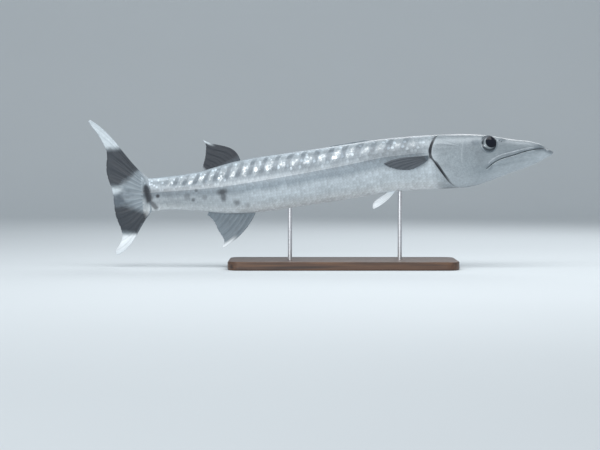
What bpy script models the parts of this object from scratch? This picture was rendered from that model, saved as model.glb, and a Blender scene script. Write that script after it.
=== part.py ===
"""A great barracuda at life size, nose a little up, held over a flat base by two rods.

Metres, +Z up. The origin is the middle of the base's underside, and the snout points along +X.
The fish is modelled in its own frame: "back" is the distance behind the chin's tip along the
body's axis, "side" is to the fish's left, and "up" is above the axis. An empty pitches and
lifts that frame over the base.
"""

import math

import bmesh
import bpy
import numpy as np
from mathutils import Vector

# The fish on its stand
PITCH = math.radians(6.0)
AXIS_HEIGHT = 0.222
BALANCE_BACK = 0.500
SWAY_START = 0.560
SWAY_END = 1.090
SWAY = 0.014
GAP = 0.0003

# The body, from side to side and from the chin to the tail's root
CHIN_LENGTH = 0.008
CHIN_UP = 0.0008
UPPER_JAW_BACK = 0.017
UPPER_JAW_BLUNT = 0.020
SNOUT_NARROW = 0.35
SNOUT_TAPER = 0.040
SNOUT_STEP = 0.003
CHIN_SHELF = 0.0006
CHIN_ROUND = 0.3
LIP_HEIGHT = 0.0011
LIP_CREASE = 0.0004
LIP_STRETCH = 18.0
MOUTH_CORNER_BACK = 0.167
BODY_END = 0.958
BODY_STATIONS = (
    # back, top, bottom, half width, widest at, squareness above, squareness below
    (0.000, 0.0040, -0.0060, 0.0060, 0.0008, 2.1, 2.0),
    (0.015, 0.0190, -0.0105, 0.0100, 0.0060, 2.1, 2.0),
    (0.030, 0.0236, -0.0172, 0.0136, 0.0085, 2.3, 2.0),
    (0.052, 0.0312, -0.0252, 0.0180, 0.0068, 2.6, 2.0),
    (0.080, 0.0374, -0.0330, 0.0226, 0.0020, 2.9, 2.0),
    (0.112, 0.0455, -0.0406, 0.0288, -0.0020, 3.3, 2.0),
    (0.146, 0.0546, -0.0500, 0.0352, -0.0040, 3.7, 2.0),
    (0.190, 0.0626, -0.0588, 0.0420, -0.0010, 3.1, 2.1),
    (0.238, 0.0677, -0.0606, 0.0468, 0.0030, 2.6, 2.2),
    (0.288, 0.0706, -0.0585, 0.0488, 0.0070, 2.4, 2.2),
    (0.340, 0.0724, -0.0550, 0.0496, 0.0095, 2.2, 2.2),
    (0.392, 0.0730, -0.0538, 0.0506, 0.0105, 2.1, 2.2),
    (0.470, 0.0700, -0.0588, 0.0520, 0.0080, 2.1, 2.2),
    (0.560, 0.0662, -0.0634, 0.0520, 0.0030, 2.1, 2.1),
    (0.650, 0.0630, -0.0674, 0.0500, -0.0010, 2.1, 2.1),
    (0.715, 0.0600, -0.0690, 0.0462, -0.0030, 2.1, 2.1),
    (0.760, 0.0550, -0.0666, 0.0410, -0.0050, 2.1, 2.1),
    (0.800, 0.0480, -0.0612, 0.0350, -0.0070, 2.1, 2.1),
    (0.840, 0.0412, -0.0530, 0.0290, -0.0060, 2.1, 2.1),
    (0.880, 0.0386, -0.0460, 0.0236, -0.0040, 2.2, 2.2),
    (0.920, 0.0380, -0.0416, 0.0182, -0.0020, 2.2, 2.2),
    (0.958, 0.0388, -0.0412, 0.0110, -0.0010, 2.3, 2.3),
)
# The line that parts the upper half of a section from the lower: the mouth, then the lateral line
MOUTH_LINE = (
    (0.000, 0.0013),
    (0.006, 0.0064),
    (0.015, 0.0097),
    (0.028, 0.0110),
    (0.054, 0.0103),
    (0.080, 0.0064),
    (0.104, 0.0016),
    (0.126, -0.0024),
    (0.143, -0.0086),
    (0.156, -0.0162),
    (0.167, -0.0236),
)
LATERAL_LINE = (
    (0.190, -0.0180),
    (0.240, 0.0100),
    (0.297, 0.0285),
    (0.350, 0.0306),
    (0.408, 0.0292),
    (0.460, 0.0238),
    (0.530, 0.0172),
    (0.629, 0.0095),
    (0.708, 0.0044),
    (0.790, 0.0006),
    (0.860, 0.0010),
    (0.958, 0.0036),
)
# The gill cover's rear edge: its distance back against the share of the way from crown to belly
GILL_STATION = 0.288
GILL_EDGE = (
    (0.00, 0.2660),
    (0.10, 0.2670),
    (0.20, 0.2740),
    (0.30, 0.2815),
    (0.40, 0.2875),
    (0.50, 0.2905),
    (0.54, 0.2895),
    (0.58, 0.2840),
    (0.64, 0.2760),
    (0.72, 0.2652),
    (0.80, 0.2535),
    (0.88, 0.2380),
    (0.95, 0.2210),
    (1.00, 0.2100),
)
GILL_REACH_AHEAD = 0.190
GILL_REACH_BEHIND = 0.230
GILL_COVER_FLARE = 0.0022
GILL_COVER_RISE = 0.060
GILL_COVER_THICKNESS = 0.0050
GILL_PLATE_FRONT = ((0.12, 0.226), (0.50, 0.221), (0.80, 0.230), (0.95, 0.248))
GILL_PLATE_TOP = 0.120
GILL_PLATE_BOTTOM = 0.945
GILL_PLATE_ROWS = 6
GILL_ROOM_AHEAD = 2.2
SHARE_PER_METRE = 9.0
VENT_BACK = 0.700

HEAD_STATIONS = (
    0.0010, 0.0040, 0.0085, 0.0128, 0.0168, 0.0180, 0.0210, 0.0255, 0.0330, 0.0440, 0.0570, 0.0720, 0.0890,
    0.1060, 0.1230, 0.1400, 0.1580, 0.1760, 0.1960, 0.2160, 0.2360, 0.2560, 0.2740, GILL_STATION,
)  # fmt: skip
TORSO_RINGS = 13
STEM_RINGS = 11
# Where the points of a ring lie between the crown, 0, the parting line, 0.5, and the belly, 1
RING_SHARES = (
    0.000, 0.055, 0.120, 0.190, 0.260, 0.330, 0.390, 0.440, 0.472, 0.500,
    0.528, 0.560, 0.610, 0.670, 0.740, 0.810, 0.880, 0.945, 1.000,
)  # fmt: skip

# Eyes, as flattened balls set in the sides of the head
EYE_BACK = 0.1535
EYE_UP = 0.0352
EYE_RADIUS = 0.0208
EYE_HALF_DEPTH = 0.0080
EYE_SUNK = 0.0044
EYE_TILT = math.radians(13.0)
EYE_TURN = math.radians(10.0)
NOSTRIL_PLACES = ((0.1270, 0.0402), (0.1220, 0.0380))
NOSTRIL_RADIUS = 0.0013
NOSTRIL_DEPTH = 0.0020

# Fins: each root runs from its leading ray to its last, and so does its outer margin
RAY_SPREAD = 0.22
FIN_ROWS = (0.0, 0.07, 0.17, 0.32, 0.52, 0.77, 1.0)
FIN_BASE_SHARE = 0.17
FIN_ROOT_SUNK = 0.005
EDGE_HALF = 0.00030
MEMBRANE_HALF = 0.00040
REAR_DORSAL = {
    "rays": 10,
    "root": (0.7370, 0.8230),
    "margin": ((0.0, 0.8200, 0.1150), (0.12, 0.8155, 0.1040), (0.28, 0.8160, 0.0930), (0.5, 0.8185, 0.0790),
               (0.75, 0.8235, 0.0640), (1.0, 0.8285, 0.0510)),
    "bow": (0.129, 0.0),
    "skew": (-0.147, 0.0),
    "ray_half": 0.0011,
    "base_half": 0.0024,
}  # fmt: skip
ANAL = {
    "rays": 10,
    "root": (0.7115, 0.8230),
    "margin": ((0.0, 0.8030, -0.1450), (0.12, 0.7965, -0.1320), (0.28, 0.7995, -0.1170), (0.5, 0.8080, -0.1000),
               (0.75, 0.8150, -0.0800), (1.0, 0.8290, -0.0630)),
    "bow": (-0.090, 0.0),
    "skew": (0.0, 0.0),
    "ray_half": 0.0011,
    "base_half": 0.0024,
}  # fmt: skip
FRONT_DORSAL = {
    "rays": 5,
    "root": (0.4060, 0.4980),
    "rise": (0.0030, 0.0012),
    "sweep": (0.0360, 0.0280),
    "ray_half": 0.0014,
    "base_half": 0.0022,
}
PELVIC = {
    "rays": 6,
    "root": (0.3790, 0.3925),
    "margin": ((0.0, 0.4376, -0.0890), (0.4, 0.4365, -0.0785), (0.7, 0.4300, -0.0710), (1.0, 0.4180, -0.0640)),
    "bow": (-0.075, 0.0),
    "skew": (0.0, 0.0),
    "ray_half": 0.0009,
    "base_half": 0.0018,
    "side": 0.0120,
    "splay": 0.22,
}
PECTORAL = {
    "rays": 12,
    "root": ((0.0, 0.2970, 0.0235), (1.0, 0.2980, 0.0145)),
    "margin": ((0.0, 0.4045, 0.0148), (0.3, 0.3950, 0.0075), (0.5, 0.3810, 0.0008), (0.7, 0.3620, -0.0040),
               (0.85, 0.3430, -0.0052), (1.0, 0.3255, -0.0010)),
    "bow": (0.048, -0.03),
    "skew": (0.040, 0.0),
    "ray_half": 0.0009,
    "base_half": 0.0024,
    "sunk": 0.0040,
    "leave": 0.09,
    "clear": 0.0042,
    "lift": 0.0070,
}  # fmt: skip
CAUDAL = {
    "rays": 17,
    "root": ((0.0, 0.9583, 0.0383), (1.0, 0.9583, -0.0407)),
    "margin": ((0.00, 1.0800, 0.1893), (0.035, 1.0850, 0.1860), (0.09, 1.0717, 0.1633), (0.16, 1.0585, 0.1355),
               (0.22, 1.0515, 0.1150), (0.32, 1.0542, 0.0840), (0.40, 1.0560, 0.0560), (0.46, 1.0510, 0.0325),
               (0.50, 1.0480, 0.0155), (0.54, 1.0472, -0.0015), (0.60, 1.0475, -0.0200), (0.70, 1.0455, -0.0480),
               (0.79, 1.0385, -0.0745), (0.85, 1.0372, -0.0905), (0.91, 1.0440, -0.1085), (0.965, 1.0575, -0.1280),
               (1.00, 1.0545, -0.1360)),
    "bow": (0.013, -0.050),
    "skew": (0.054, -0.077),
    "ray_half": 0.0013,
    "curl": (-0.012, 0.020),
}  # fmt: skip

# The stand
BASE_SIZE = (0.540, 0.200, 0.020)
BASE_CORNER = 0.030
BASE_EDGE = 0.003
ROD_RADIUS = 0.0050
ROD_PLACES = (0.135, -0.125)
ROD_IN_BASE = 0.008
ROD_IN_BODY = 0.020


# Curves through named points


def spline_slopes(xs, ys):
    """Second derivatives of the natural cubic spline through the points."""
    count = len(xs)
    system = np.zeros((count, count))
    target = np.zeros(count)
    system[0, 0] = system[-1, -1] = 1.0
    for i in range(1, count - 1):
        before, after = xs[i] - xs[i - 1], xs[i + 1] - xs[i]
        system[i, i - 1 : i + 2] = before, 2 * (before + after), after
        target[i] = 6 * ((ys[i + 1] - ys[i]) / after - (ys[i] - ys[i - 1]) / before)
    return np.linalg.solve(system, target)


def curve_through(points):
    """A smooth function through (x, y) points, straight past its ends."""
    xs = np.array([p[0] for p in points], float)
    ys = np.array([p[1] for p in points], float)
    bend = spline_slopes(xs, ys)

    def value(x):
        x = min(max(x, xs[0]), xs[-1])
        i = min(max(int(np.searchsorted(xs, x)) - 1, 0), len(xs) - 2)
        step = xs[i + 1] - xs[i]
        a, b = (xs[i + 1] - x) / step, (x - xs[i]) / step
        pull = (a**3 - a) * bend[i] + (b**3 - b) * bend[i + 1]
        return float(a * ys[i] + b * ys[i + 1] + pull * step**2 / 6)

    return value


def column(index):
    return curve_through([(row[0], row[index]) for row in BODY_STATIONS])


TOP, BOTTOM, HALF_WIDTH, WIDEST, SQUARE_ABOVE, SQUARE_BELOW = (column(i) for i in range(1, 7))
PARTING = curve_through(MOUTH_LINE + LATERAL_LINE)
GILL_BACK = curve_through(GILL_EDGE)
GILL_FRONT = curve_through(GILL_PLATE_FRONT)


def eased(x):
    x = min(max(x, 0.0), 1.0)
    return x * x * (3 - 2 * x)


def blunt(x):
    """0 at 0 and 1 from 1 on, rising as a quarter circle does."""
    x = min(max(x, 0.0), 1.0)
    return math.sqrt(1 - (1 - x) ** 2)


def sway(back):
    """How far the swimming tail has swung to the fish's left."""
    share = min(max((back - SWAY_START) / (SWAY_END - SWAY_START), 0.0), 1.2)
    return SWAY * share**2


def spot(back, side, up):
    """A point of the fish's own frame as the empty's local coordinates."""
    return Vector((BALANCE_BACK - back, side + sway(back), up))


# The body's sections


def section(back, swell=0.0, flare=0.0):
    """Half of the body's outline at one station: (side, up) from crown to belly, closely spaced."""
    chin = blunt(back / CHIN_LENGTH)
    parting = PARTING(back)
    snout = blunt((back - UPPER_JAW_BACK) / UPPER_JAW_BLUNT)
    top = TOP(back) * snout + (parting - CHIN_SHELF) * (1 - snout)
    middle = min(WIDEST(back), top - (top - BOTTOM(back)) * CHIN_ROUND)
    top = CHIN_UP + (top - CHIN_UP) * chin + swell
    bottom = CHIN_UP + (BOTTOM(back) - CHIN_UP) * chin - swell
    middle = CHIN_UP + (middle - CHIN_UP) * chin
    half = (HALF_WIDTH(back) + flare) * chin + swell
    points = []
    for power, end, angles in (
        (SQUARE_ABOVE(back), top, np.linspace(0, math.pi / 2, 60)),
        (SQUARE_BELOW(back), bottom, np.linspace(math.pi / 2, 0, 60)[1:]),
    ):
        for angle in angles:
            across = max(math.sin(angle), 0.0) ** (2 / power)
            along = max(math.cos(angle), 0.0) ** (2 / power)
            points.append((half * across, middle + (end - middle) * along))
    points = np.array(points)
    # The upper jaw's tip is rounded from above and sits inside the lower jaw's
    narrow = (1 - SNOUT_NARROW) * (1 - blunt((back - UPPER_JAW_BACK) / SNOUT_TAPER))
    above = np.clip((points[:, 1] - parting + LIP_HEIGHT) / SNOUT_STEP, 0, 1)
    points[:, 0] *= 1 - narrow * above
    return points


def section_points(back, shares, swell=0.0, flare=0.0):
    """(side, up) at each share of the way from the crown, 0, past the parting line, 0.5, to the belly, 1."""
    line = section(back, swell, flare)
    run = np.concatenate([[0], np.cumsum(np.hypot(*np.diff(line, axis=0).T))])
    chin = blunt(back / CHIN_LENGTH)
    level = CHIN_UP + (PARTING(back) - CHIN_UP) * chin
    level = min(max(level, line[-1, 1] + 1e-6), line[0, 1] - 1e-6)
    parted = np.interp(-level, -line[:, 1], run)
    lengths = np.where(
        np.array(shares) < 0.5,
        np.array(shares) * 2 * parted,
        parted + (np.array(shares) - 0.5) * 2 * (run[-1] - parted),
    )
    return np.column_stack([np.interp(lengths, run, line[:, 0]), np.interp(lengths, run, line[:, 1])])


def warped(station, share):
    """The distance back of a ring's point: rings near the gill follow its edge."""
    reach = GILL_REACH_AHEAD if station < GILL_STATION else GILL_REACH_BEHIND
    near = min(abs(station - GILL_STATION) / reach, 1.0)
    pull = (0.5 + 0.5 * math.cos(math.pi * near)) * (GILL_BACK(share) - GILL_STATION)
    return station + pull


def lips(back, share):
    """How far the lips stand out on either side of the mouth line."""
    away = abs(share - 0.5) * 2 * LIP_STRETCH
    ridge = away * math.exp(1 - away)
    crease = math.exp(-((away * 2.5) ** 2))
    along = eased((back - UPPER_JAW_BACK) / 0.012) * (1 - eased((back - MOUTH_CORNER_BACK + 0.012) / 0.016))
    return (LIP_HEIGHT * ridge - LIP_CREASE * crease) * along


def skin_point(station, share, swell=0.0, shift=0.0, flare=0.0):
    """(back, side, up) on the body at a warped station and a share of the way from crown to belly."""
    back = warped(station, share) + shift
    side, up = section_points(back, [share], swell, flare)[0]
    return back, side, up


def ring(station, swell=0.0, shift=0.0):
    """A closed loop of points round the body, from the crown down the right side and up the left."""
    half = [skin_point(station, share, swell + lips(station, share), shift) for share in RING_SHARES]
    right = [spot(back, -side, up) for back, side, up in half]
    left = [spot(back, side, up) for back, side, up in half[-2:0:-1]]
    return right + left


def bridge(mesh, first, second):
    for i in range(len(first)):
        j = (i + 1) % len(first)
        mesh.faces.new((first[i], first[j], second[j], second[i]))


def cap_across(mesh, loop, flip):
    """Closes a ring with strips that run straight from its right side to its left."""
    count = len(loop)
    for i in range(1, count // 2 + 1):
        corners = [loop[i - 1], loop[i], loop[(count - i) % count], loop[(count - i + 1) % count]]
        corners = list(dict.fromkeys(corners))
        mesh.faces.new(corners[::-1] if flip else corners)


def body_length(name, rings, chin=False):
    """One closed length of the body from its rings. With a chin, the first ring closes on a point."""
    mesh = bmesh.new()
    loops = [[mesh.verts.new(p) for p in points] for points in rings]
    for first, second in zip(loops, loops[1:]):
        bridge(mesh, first, second)
    if chin:
        point = mesh.verts.new(spot(0.0, 0.0, CHIN_UP))
        for i in range(len(loops[0])):
            mesh.faces.new((point, loops[0][(i + 1) % len(loops[0])], loops[0][i]))
    else:
        cap_across(mesh, loops[0], flip=False)
    cap_across(mesh, loops[-1], flip=True)
    bmesh.ops.recalc_face_normals(mesh, faces=mesh.faces)
    return new_object(name, mesh)


# Objects and materials


def new_object(name, mesh, parent=None):
    data = bpy.data.meshes.new(name)
    mesh.to_mesh(data)
    mesh.free()
    made = bpy.data.objects.new(name, data)
    bpy.context.scene.collection.objects.link(made)
    made.parent = parent or FISH
    return made


def material(name, colour, roughness, metallic=0.0):
    made = bpy.data.materials.new(name)
    made.use_nodes = True
    shader = made.node_tree.nodes["Principled BSDF"]
    shader.inputs["Base Color"].default_value = (*colour, 1.0)
    shader.inputs["Roughness"].default_value = roughness
    shader.inputs["Metallic"].default_value = metallic
    return made


def finish(made, look, crease=40.0):
    made.data.materials.append(look)
    made.data.shade_smooth()
    made.data.set_sharp_from_angle(angle=math.radians(crease))
    return made


def helper(made):
    """Marks a guide that only cuts other objects."""
    made.hide_render = True
    made.display_type = "WIRE"
    return made


def boolean(made, other, operation):
    cut = made.modifiers.new(operation.lower() + "_" + other.name, "BOOLEAN")
    cut.operation = operation
    cut.object = other
    cut.solver = "EXACT"
    return made


def side_prism(name, outline, side_from=-0.12, side_to=0.12):
    """A flat outline in the fish's side view, (back, up), made solid across the body."""
    mesh = bmesh.new()
    corners = [mesh.verts.new(spot(back, side_from, up)) for back, up in outline]
    face = mesh.faces.new(corners)
    grown = bmesh.ops.extrude_face_region(mesh, geom=[face])
    moved = [v for v in grown["geom"] if isinstance(v, bmesh.types.BMVert)]
    bmesh.ops.translate(mesh, verts=moved, vec=(0, side_to - side_from, 0))
    bmesh.ops.recalc_face_normals(mesh, faces=mesh.faces)
    return helper(new_object(name, mesh))


# Plates laid on the body, and the fins


def skin_plate(name, rows, shares, inside, outside, side):
    """A closed plate on the head's side, from its front line, 0, to the gill's edge, 1, and its recess.

    inside and outside give the two depths, each as a swell and a flare of the body's section.
    """
    mesh = bmesh.new()
    faces = []
    for depth in (outside, inside):
        grid = []
        for reach, shift in rows:
            row = []
            for share in shares:
                station = GILL_FRONT(share) * (1 - reach) + GILL_STATION * reach
                swell, flare = depth(station, share)
                back, across, up = skin_point(station, share, swell, shift, flare)
                row.append(mesh.verts.new(spot(back, side * across, up)))
            grid.append(row)
        faces.append(grid)
    close_grids(mesh, faces[0], faces[1])
    return new_object(name, mesh)


def close_grids(mesh, front, rear):
    """Faces on two matching grids and along their shared border, split the same way on both."""
    rows, columns = len(front), len(front[0])
    for grid in (front, rear):
        for i in range(rows - 1):
            for j in range(columns - 1):
                a, b, c, d = grid[i][j], grid[i][j + 1], grid[i + 1][j + 1], grid[i + 1][j]
                mesh.faces.new((a, b, c))
                mesh.faces.new((a, c, d))
    border = [(0, j) for j in range(columns)]
    border += [(i, columns - 1) for i in range(1, rows)]
    border += [(rows - 1, j) for j in range(columns - 2, -1, -1)]
    border += [(i, 0) for i in range(rows - 2, 0, -1)]
    for k, (i, j) in enumerate(border):
        m, n = border[(k + 1) % len(border)]
        mesh.faces.new((front[i][j], front[m][n], rear[m][n], rear[i][j]))
    bmesh.ops.recalc_face_normals(mesh, faces=mesh.faces)


def path(knots):
    """A smooth curve through (share, back, up) knots."""
    back = curve_through([(k[0], k[1]) for k in knots])
    up = curve_through([(k[0], k[2]) for k in knots])
    return lambda share: (back(share), up(share))


def ray_columns(rays):
    """Shares across a fin, three to a ray: its two feet in the membrane and its crest between them."""
    foot = RAY_SPREAD / rays
    columns = []
    for i in range(rays):
        crest = foot + (1 - 2 * foot) * i / (rays - 1)
        columns += [(crest - foot, False), (crest, True), (crest + foot, False)]
    return columns


def rayed_fin(name, fin, root, margin, middle, base_half, rows=FIN_ROWS):
    """A closed fin whose rays are ridges in its own skin.

    root and margin give (back, up) for a share across the fin, middle gives the side for a place
    on it, and base_half gives its half thickness at the root.
    """
    mesh = bmesh.new()
    near, far = [], []
    for t in rows:
        near_row, far_row = [], []
        for share, crest in ray_columns(fin["rays"]):
            start, end = np.array(root(share)), np.array(margin(share))
            along = end - start
            bow = fin["bow"][0] * (1 - share) + fin["bow"][1] * share
            skew = fin["skew"][0] * (1 - share) + fin["skew"][1] * share
            curve = (bow + skew * (2 * t - 1)) * 4 * t * (1 - t)
            back, up = start + along * t + np.array([-along[1], along[0]]) * curve
            full = fin["ray_half"] if crest else MEMBRANE_HALF
            blade = full + (EDGE_HALF - full) * t**1.5
            blend = eased(t / FIN_BASE_SHARE)
            half = base_half(share) * (1 - blend) + blade * blend
            side = middle(back, up, share, t)
            near_row.append(mesh.verts.new(spot(back, side - half, up)))
            far_row.append(mesh.verts.new(spot(back, side + half, up)))
        near.append(near_row)
        far.append(far_row)
    close_grids(mesh, near, far)
    return new_object(name, mesh)


def body_side(back, up):
    """How far the body's skin is from the middle at a height."""
    line = section(back)
    return float(np.interp(-up, -line[:, 1], line[:, 0]))


def median_fin(name, fin, edge, sign):
    """A fin in the fish's middle plane, its root just inside the body's edge."""
    first, last = fin["root"]

    def root(share):
        back = first + (last - first) * share
        return back, edge(back) - sign * FIN_ROOT_SUNK

    return rayed_fin(
        name, fin, root, path(fin["margin"]), lambda back, up, share, t: 0.0, lambda share: fin["base_half"]
    )


def front_dorsal():
    """The spiny fin laid back in its groove: a low ridge with its spines side by side."""
    first, last = FRONT_DORSAL["root"]

    def root(share):
        back = first + (last - first) * share
        return back, TOP(back) - FIN_ROOT_SUNK

    def margin(share):
        back = first + (last - first) * share
        back += FRONT_DORSAL["sweep"][0] * (1 - share) + FRONT_DORSAL["sweep"][1] * share
        rise = FRONT_DORSAL["rise"][0] * (1 - share) + FRONT_DORSAL["rise"][1] * share
        return back, TOP(back) + rise

    fin = dict(FRONT_DORSAL, bow=(0.0, 0.0), skew=(0.0, 0.0))
    rows = (0.0, 0.4, 0.7, 1.0)
    return rayed_fin(
        "dorsal_fin_front", fin, root, margin, lambda back, up, share, t: 0.0, lambda share: fin["base_half"], rows
    )


def pelvic_fin(name, side):
    first, last = PELVIC["root"]

    def root(share):
        back = first + (last - first) * share
        return back, BOTTOM(back) + 0.0045

    def middle(back, up, share, t):
        return side * (PELVIC["side"] + PELVIC["splay"] * (BOTTOM(first) - up))

    return rayed_fin(name, PELVIC, root, path(PELVIC["margin"]), middle, lambda share: PELVIC["base_half"])


def pectoral_fin(name, side):
    """A fin laid back along the flank: it leaves the skin at its root and then follows it."""

    def middle(back, up, share, t):
        leave = eased(t / PECTORAL["leave"])
        stand_off = PECTORAL["clear"] * leave - PECTORAL["sunk"] * (1 - leave) + PECTORAL["lift"] * t
        return side * (body_side(back, up) + stand_off)

    root, margin = path(PECTORAL["root"]), path(PECTORAL["margin"])
    rows = (0.0, 0.04, 0.09, 0.18, 0.36, 0.60, 0.82, 1.0)
    return rayed_fin(name, PECTORAL, root, margin, middle, lambda share: PECTORAL["base_half"], rows)


def caudal_fin():
    root = path(CAUDAL["root"])

    def base_half(share):
        return max(body_side(BODY_END, root(share)[1]), MEMBRANE_HALF)

    def middle(back, up, share, t):
        upper, lower = CAUDAL["curl"]
        lobe = upper * max(1 - 2 * share, 0.0) ** 1.5 + lower * max(2 * share - 1, 0.0) ** 1.5
        return lobe * t**2

    return rayed_fin("caudal_fin", CAUDAL, root, path(CAUDAL["margin"]), middle, base_half)


# The head's pieces


def eye_ball(name, side, grow=0.0, segments=20, rings=10):
    mesh = bmesh.new()
    bmesh.ops.create_uvsphere(mesh, u_segments=segments, v_segments=rings, radius=1.0)
    made = new_object(name, mesh)
    across = body_side(EYE_BACK, EYE_UP) - EYE_SUNK
    for vertex in made.data.vertices:
        x, y, z = vertex.co
        x, y, z = x * (EYE_RADIUS + grow), y * (EYE_RADIUS + grow), z * (EYE_HALF_DEPTH + grow)
        # The ball's short axis points out of the head, a little up and a little ahead
        lean = z * math.sin(EYE_TILT) + y * math.cos(EYE_TILT)
        out = z * math.cos(EYE_TILT) - y * math.sin(EYE_TILT)
        ahead = x * math.cos(EYE_TURN) + out * math.sin(EYE_TURN)
        out = out * math.cos(EYE_TURN) - x * math.sin(EYE_TURN)
        vertex.co = spot(EYE_BACK - ahead, side * (across + out), EYE_UP + lean)
    if side > 0:
        made.data.flip_normals()
    made.data.update()
    return made


def nostril(name, back, up, side):
    mesh = bmesh.new()
    bmesh.ops.create_cone(
        mesh, cap_ends=True, segments=10, radius1=NOSTRIL_RADIUS, radius2=NOSTRIL_RADIUS, depth=2 * NOSTRIL_DEPTH
    )
    made = new_object(name, mesh)
    for vertex in made.data.vertices:
        x, y, z = vertex.co
        vertex.co = spot(back - x, side * (body_side(back, up) + z), up + y)
    if side > 0:
        made.data.flip_normals()
    made.data.update()
    return helper(made)


def jaw_outline(offset):
    """The lower jaw's place in side view: under the mouth line and ahead of the hinge."""
    hinge = (MOUTH_CORNER_BACK, PARTING(MOUTH_CORNER_BACK))
    line = [(back, PARTING(back) + offset) for back in np.linspace(0.0, hinge[0], 33)]
    ahead = [(-0.010, line[0][1])]
    behind = [(hinge[0] + 0.020 + offset, hinge[1] - 0.050)]
    return ahead + line[:-1] + [(hinge[0] + offset, hinge[1] + offset)] + behind + [(-0.010, behind[0][1])]


def gill_plate(name, side, grow=0.0):
    """The gill cover, or with a margin grown round it, the room it needs in the head."""
    rows = [(reach, 0.0) for reach in np.linspace(0.0, 1.0, GILL_PLATE_ROWS)]
    shares = [share for share in RING_SHARES if GILL_PLATE_TOP <= share <= GILL_PLATE_BOTTOM]
    if grow:
        rows[0] = (0.0, -grow * GILL_ROOM_AHEAD)
        rows.append((1.0, 0.004))
        shares[0] -= grow * SHARE_PER_METRE
        shares[-1] += grow * SHARE_PER_METRE

    def outside(station, share):
        if grow:
            return GILL_COVER_FLARE, 0.0
        before = GILL_BACK(share) - warped(station, share)
        return 0.0, GILL_COVER_FLARE * eased(1 - before / GILL_COVER_RISE)

    def inside(station, share):
        return -GILL_COVER_THICKNESS - grow, 0.0

    return skin_plate(name, rows, shares, inside, outside, side)


# The stand


def cylinder(name, radius, bottom, top, x, segments=24):
    mesh = bmesh.new()
    bmesh.ops.create_cone(mesh, cap_ends=True, segments=segments, radius1=radius, radius2=radius, depth=top - bottom)
    bmesh.ops.translate(mesh, verts=mesh.verts, vec=(x, 0, (top + bottom) / 2))
    made = new_object(name, mesh)
    made.parent = None
    return made


def belly_height(x):
    """The height over the floor of the belly's lowest line above a place on the base."""
    low, high = 0.25, 0.75
    for _ in range(40):
        back = (low + high) / 2
        reach = (BALANCE_BACK - back) * math.cos(PITCH) - BOTTOM(back) * math.sin(PITCH)
        if reach > x:
            low = back
        else:
            high = back
    return AXIS_HEIGHT + (BALANCE_BACK - back) * math.sin(PITCH) + BOTTOM(back) * math.cos(PITCH)


def stand_base():
    length, width, height = BASE_SIZE
    mesh = bmesh.new()
    corners = []
    for cx, cy, start in ((1, 1, 0), (-1, 1, 90), (-1, -1, 180), (1, -1, 270)):
        for k in range(7):
            angle = math.radians(start + k * 15)
            x = cx * (length / 2 - BASE_CORNER) + BASE_CORNER * math.cos(angle)
            y = cy * (width / 2 - BASE_CORNER) + BASE_CORNER * math.sin(angle)
            corners.append(mesh.verts.new((x, y, 0)))
    face = mesh.faces.new(corners)
    grown = bmesh.ops.extrude_face_region(mesh, geom=[face])
    moved = [v for v in grown["geom"] if isinstance(v, bmesh.types.BMVert)]
    bmesh.ops.translate(mesh, verts=moved, vec=(0, 0, height))
    bmesh.ops.recalc_face_normals(mesh, faces=mesh.faces)
    made = new_object("stand_base", mesh)
    made.parent = None
    bevel = made.modifiers.new("edge", "BEVEL")
    bevel.width = BASE_EDGE
    bevel.segments = 2
    bevel.limit_method = "ANGLE"
    bevel.angle_limit = math.radians(50)
    return made


# Build

for old in list(bpy.data.objects):
    bpy.data.objects.remove(old, do_unlink=True)

FISH = bpy.data.objects.new("fish_frame", None)
bpy.context.scene.collection.objects.link(FISH)
FISH.location = (0.0, 0.0, AXIS_HEIGHT)
FISH.rotation_euler = (0.0, -PITCH, 0.0)

HEAD_SKIN = material("head_skin", (0.42, 0.52, 0.60), 0.32)
SILVER_SKIN = material("silver_skin", (0.55, 0.66, 0.74), 0.30)
DARK_FIN = material("dark_fin", (0.05, 0.06, 0.08), 0.45)
PALE_FIN = material("pale_fin", (0.80, 0.84, 0.86), 0.45)
EYE_LOOK = material("eye", (0.03, 0.03, 0.04), 0.08)
WOOD = material("dark_wood", (0.10, 0.055, 0.03), 0.45)
STEEL = material("steel", (0.62, 0.63, 0.65), 0.30, metallic=1.0)

# Head, jaw and gill covers from one length of the body
head = body_length("head", [ring(station) for station in HEAD_STATIONS], chin=True)
jaw = body_length("lower_jaw", [ring(station) for station in HEAD_STATIONS[:-3]], chin=True)
boolean(jaw, side_prism("jaw_region", jaw_outline(-GAP / 2)), "INTERSECT")
boolean(head, side_prism("jaw_room", jaw_outline(GAP / 2)), "DIFFERENCE")
finish(jaw, HEAD_SKIN)
for word, side in (("right", -1), ("left", 1)):
    cover = gill_plate("gill_cover_" + word, side)
    finish(cover, HEAD_SKIN)
    boolean(head, helper(gill_plate("gill_room_" + word, side, GAP)), "DIFFERENCE")
    finish(eye_ball("eye_" + word, side), EYE_LOOK)
    boolean(head, helper(eye_ball("eye_room_" + word, side, GAP)), "DIFFERENCE")
    for number, (back, up) in enumerate(NOSTRIL_PLACES):
        boolean(head, nostril("nostril_%s_%d" % (word, number), back, up, side), "DIFFERENCE")
finish(head, HEAD_SKIN)

# Torso and tail stem
torso_stations = np.linspace(GILL_STATION, VENT_BACK, TORSO_RINGS)
torso_rings = [ring(torso_stations[0], shift=GAP)]
torso_rings += [ring(station) for station in torso_stations[1:-1]]
torso_rings.append(ring(torso_stations[-1], shift=-GAP / 2))
torso = body_length("torso", torso_rings)
stem_stations = np.linspace(VENT_BACK, BODY_END, STEM_RINGS)
stem_rings = [ring(stem_stations[0], shift=GAP / 2)]
stem_rings += [ring(station) for station in stem_stations[1:]]
stem = body_length("tail_stem", stem_rings)
finish(stem, SILVER_SKIN)

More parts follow.
